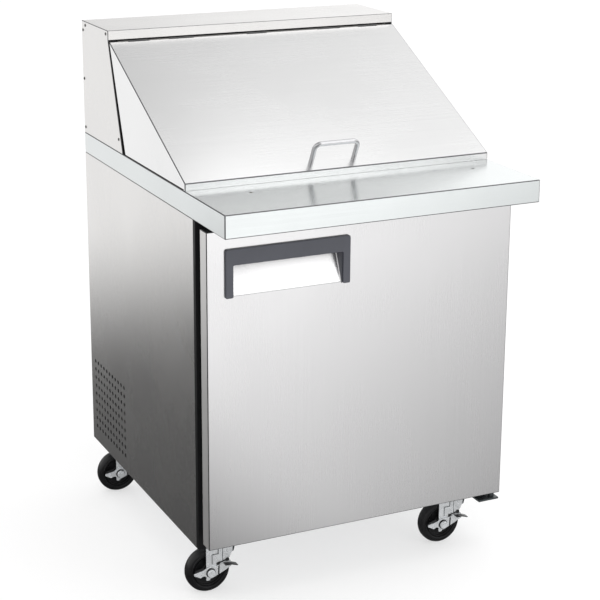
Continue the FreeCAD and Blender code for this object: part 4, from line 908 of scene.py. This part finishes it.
def stage_floor():
    """A pale seamless floor. Steel mirrors it as a graded sweep: bright far away, grey near the table."""
    floor = block("studio_floor", (-30, -30, -0.02), (30, 30, 0))
    look = Shader("pale_floor", Base_Color=(0.42, 0.42, 0.42), Roughness=0.9, Specular_IOR_Level=0.1,
                  Emission_Color=(1, 1, 1), Emission_Strength=0.58)
    across, deep, _ = look.axes()
    # In front of the table the glow rises along the way that the door mirrors, and fades to the left.
    forward = look.sum("MULTIPLY_ADD", across, -0.87, look.sum("MULTIPLY", deep, -1))
    front = look.spread(forward, 0.30, 1.50, -0.39, 2.24)
    front = look.sum("MULTIPLY", front, look.spread(across, 0.25, 1.0, -0.45, 0.15, "SMOOTHSTEP"))
    # Beside and behind it the glow rises towards the back, and to the right.
    near = look.spread(deep, 0.08, 0.15, 0.0, 1.2)
    side = look.sum("ADD", near, look.spread(deep, 0.0, 0.95, 1.05, 2.85, "SMOOTHSTEP"))
    side = look.sum("ADD", side, look.spread(across, 0.0, 0.5, 0.4, 1.0, "SMOOTHSTEP"))
    behind = look.spread(deep, 0.0, 1.0, -0.6, -0.1)
    blended = look.sum("ADD", look.sum("MULTIPLY", front, look.sum("SUBTRACT", 1, behind)),
                       look.sum("MULTIPLY", side, behind))
    glow = look.node("ShaderNodeEmission")
    look.link(blended, glow.inputs["Strength"])
    mix = look.node("ShaderNodeMixShader")
    look.link(look.node("ShaderNodeLightPath").outputs["Is Glossy Ray"], mix.inputs["Fac"])
    look.link(look.shader.outputs["BSDF"], mix.inputs[1])
    look.link(glow.outputs["Emission"], mix.inputs[2])
    look.link(mix.outputs["Shader"], look.tree.nodes["Material Output"].inputs["Surface"])
    floor.data.materials.append(look.material)


def softbox(name, place, target, width, height, radiance):
    """A rectangular light of even brightness, sized in metres."""
    light = bpy.data.lights.new(name, "AREA")
    light.shape = "RECTANGLE"
    light.size = width
    light.size_y = height
    light.energy = radiance * math.pi * width * height
    lamp = bpy.data.objects.new(name, light)
    lamp.location = place
    lamp.rotation_euler = (Vector(target) - Vector(place)).to_track_quat("-Z", "Y").to_euler()
    bpy.context.scene.collection.objects.link(lamp)


def studio_world():
    """White all round; steel mirrors a darker band low down in front, where the room is unlit."""
    world = bpy.data.worlds.new("studio")
    world.use_nodes = True
    sky = Nodes(world.node_tree, "Generated")
    across, deep, up = sky.axes()
    # Mirrored light by direction: dark low in front, a little duller overhead, brighter to the right.
    lifted = sky.sum("MULTIPLY_ADD", deep, 0.3, up)
    mirrored = sky.spread(lifted, 0.15, 1.08, -0.25, 0.12, "SMOOTHSTEP")
    mirrored = sky.sum("MULTIPLY", mirrored, sky.spread(lifted, 1.0, 0.76, 0.6, 0.95))
    toward_right = sky.spread(across, 0.6, 1.25, 0.15, 0.53)
    toward_left = sky.spread(across, 1.0, 0.6, -0.5, -0.1)
    mirrored = sky.sum("MULTIPLY", mirrored, sky.sum("MAXIMUM", toward_right, toward_left))
    # The camera sees plain white, and rough surfaces get slightly more.
    path = sky.node("ShaderNodeLightPath")
    plain = sky.spread(path.outputs["Is Camera Ray"], 1.12, 1.0, 0.0, 1.0)
    glossy = path.outputs["Is Glossy Ray"]
    strength = sky.sum("ADD", sky.sum("MULTIPLY", mirrored, glossy),
                       sky.sum("MULTIPLY", plain, sky.sum("SUBTRACT", 1, glossy)))
    background = sky.tree.nodes["Background"]
    background.inputs["Color"].default_value = (1, 1, 1, 1)
    sky.link(strength, background.inputs["Strength"])
    bpy.context.scene.world = world


def lights():
    studio_world()
    softbox("overhead", (0.7, -0.62, 2.9), (0.1, -0.1, 0.9), 2.2, 2.0, 0.92)
    softbox("front", (1.1, -2.8, 2.0), (-0.1, -0.3, 0.75), 1.3, 1.3, 1.3)


CAMERA_PLACE = Vector((-1.5891, -3.3324, 1.7491))
CAMERA_AZIMUTH = math.radians(-25.54)
CAMERA_DROP = math.radians(15.70)
CAMERA_ROLL = math.radians(0.346)
FOCAL_WIDTHS = 2.7665
SENSOR = 36.0


def camera():
    data = bpy.data.cameras.new("camera")
    data.sensor_width = SENSOR
    data.lens = FOCAL_WIDTHS * SENSOR
    data.shift_y = -0.1
    made = bpy.data.objects.new("camera", data)
    back = Vector((
        math.sin(CAMERA_AZIMUTH) * math.cos(CAMERA_DROP),
        -math.cos(CAMERA_AZIMUTH) * math.cos(CAMERA_DROP),
        math.sin(CAMERA_DROP),
    ))
    level = (-back).to_track_quat("-Z", "Y")
    made.rotation_mode = "QUATERNION"
    made.rotation_quaternion = level @ Euler((0, 0, CAMERA_ROLL)).to_quaternion()
    made.location = CAMERA_PLACE
    bpy.context.scene.collection.objects.link(made)
    bpy.context.scene.camera = made


# ---------------------------------------------------------------- the scene

dress_cad_nodes()
worktop()
hood()
hood_screws()
lid()
vent_painted_shade()
door()
door_trim()
food_pans()
casters()
stage_floor()
lights()
camera()
bpy.context.scene.view_settings.view_transform = "Standard"
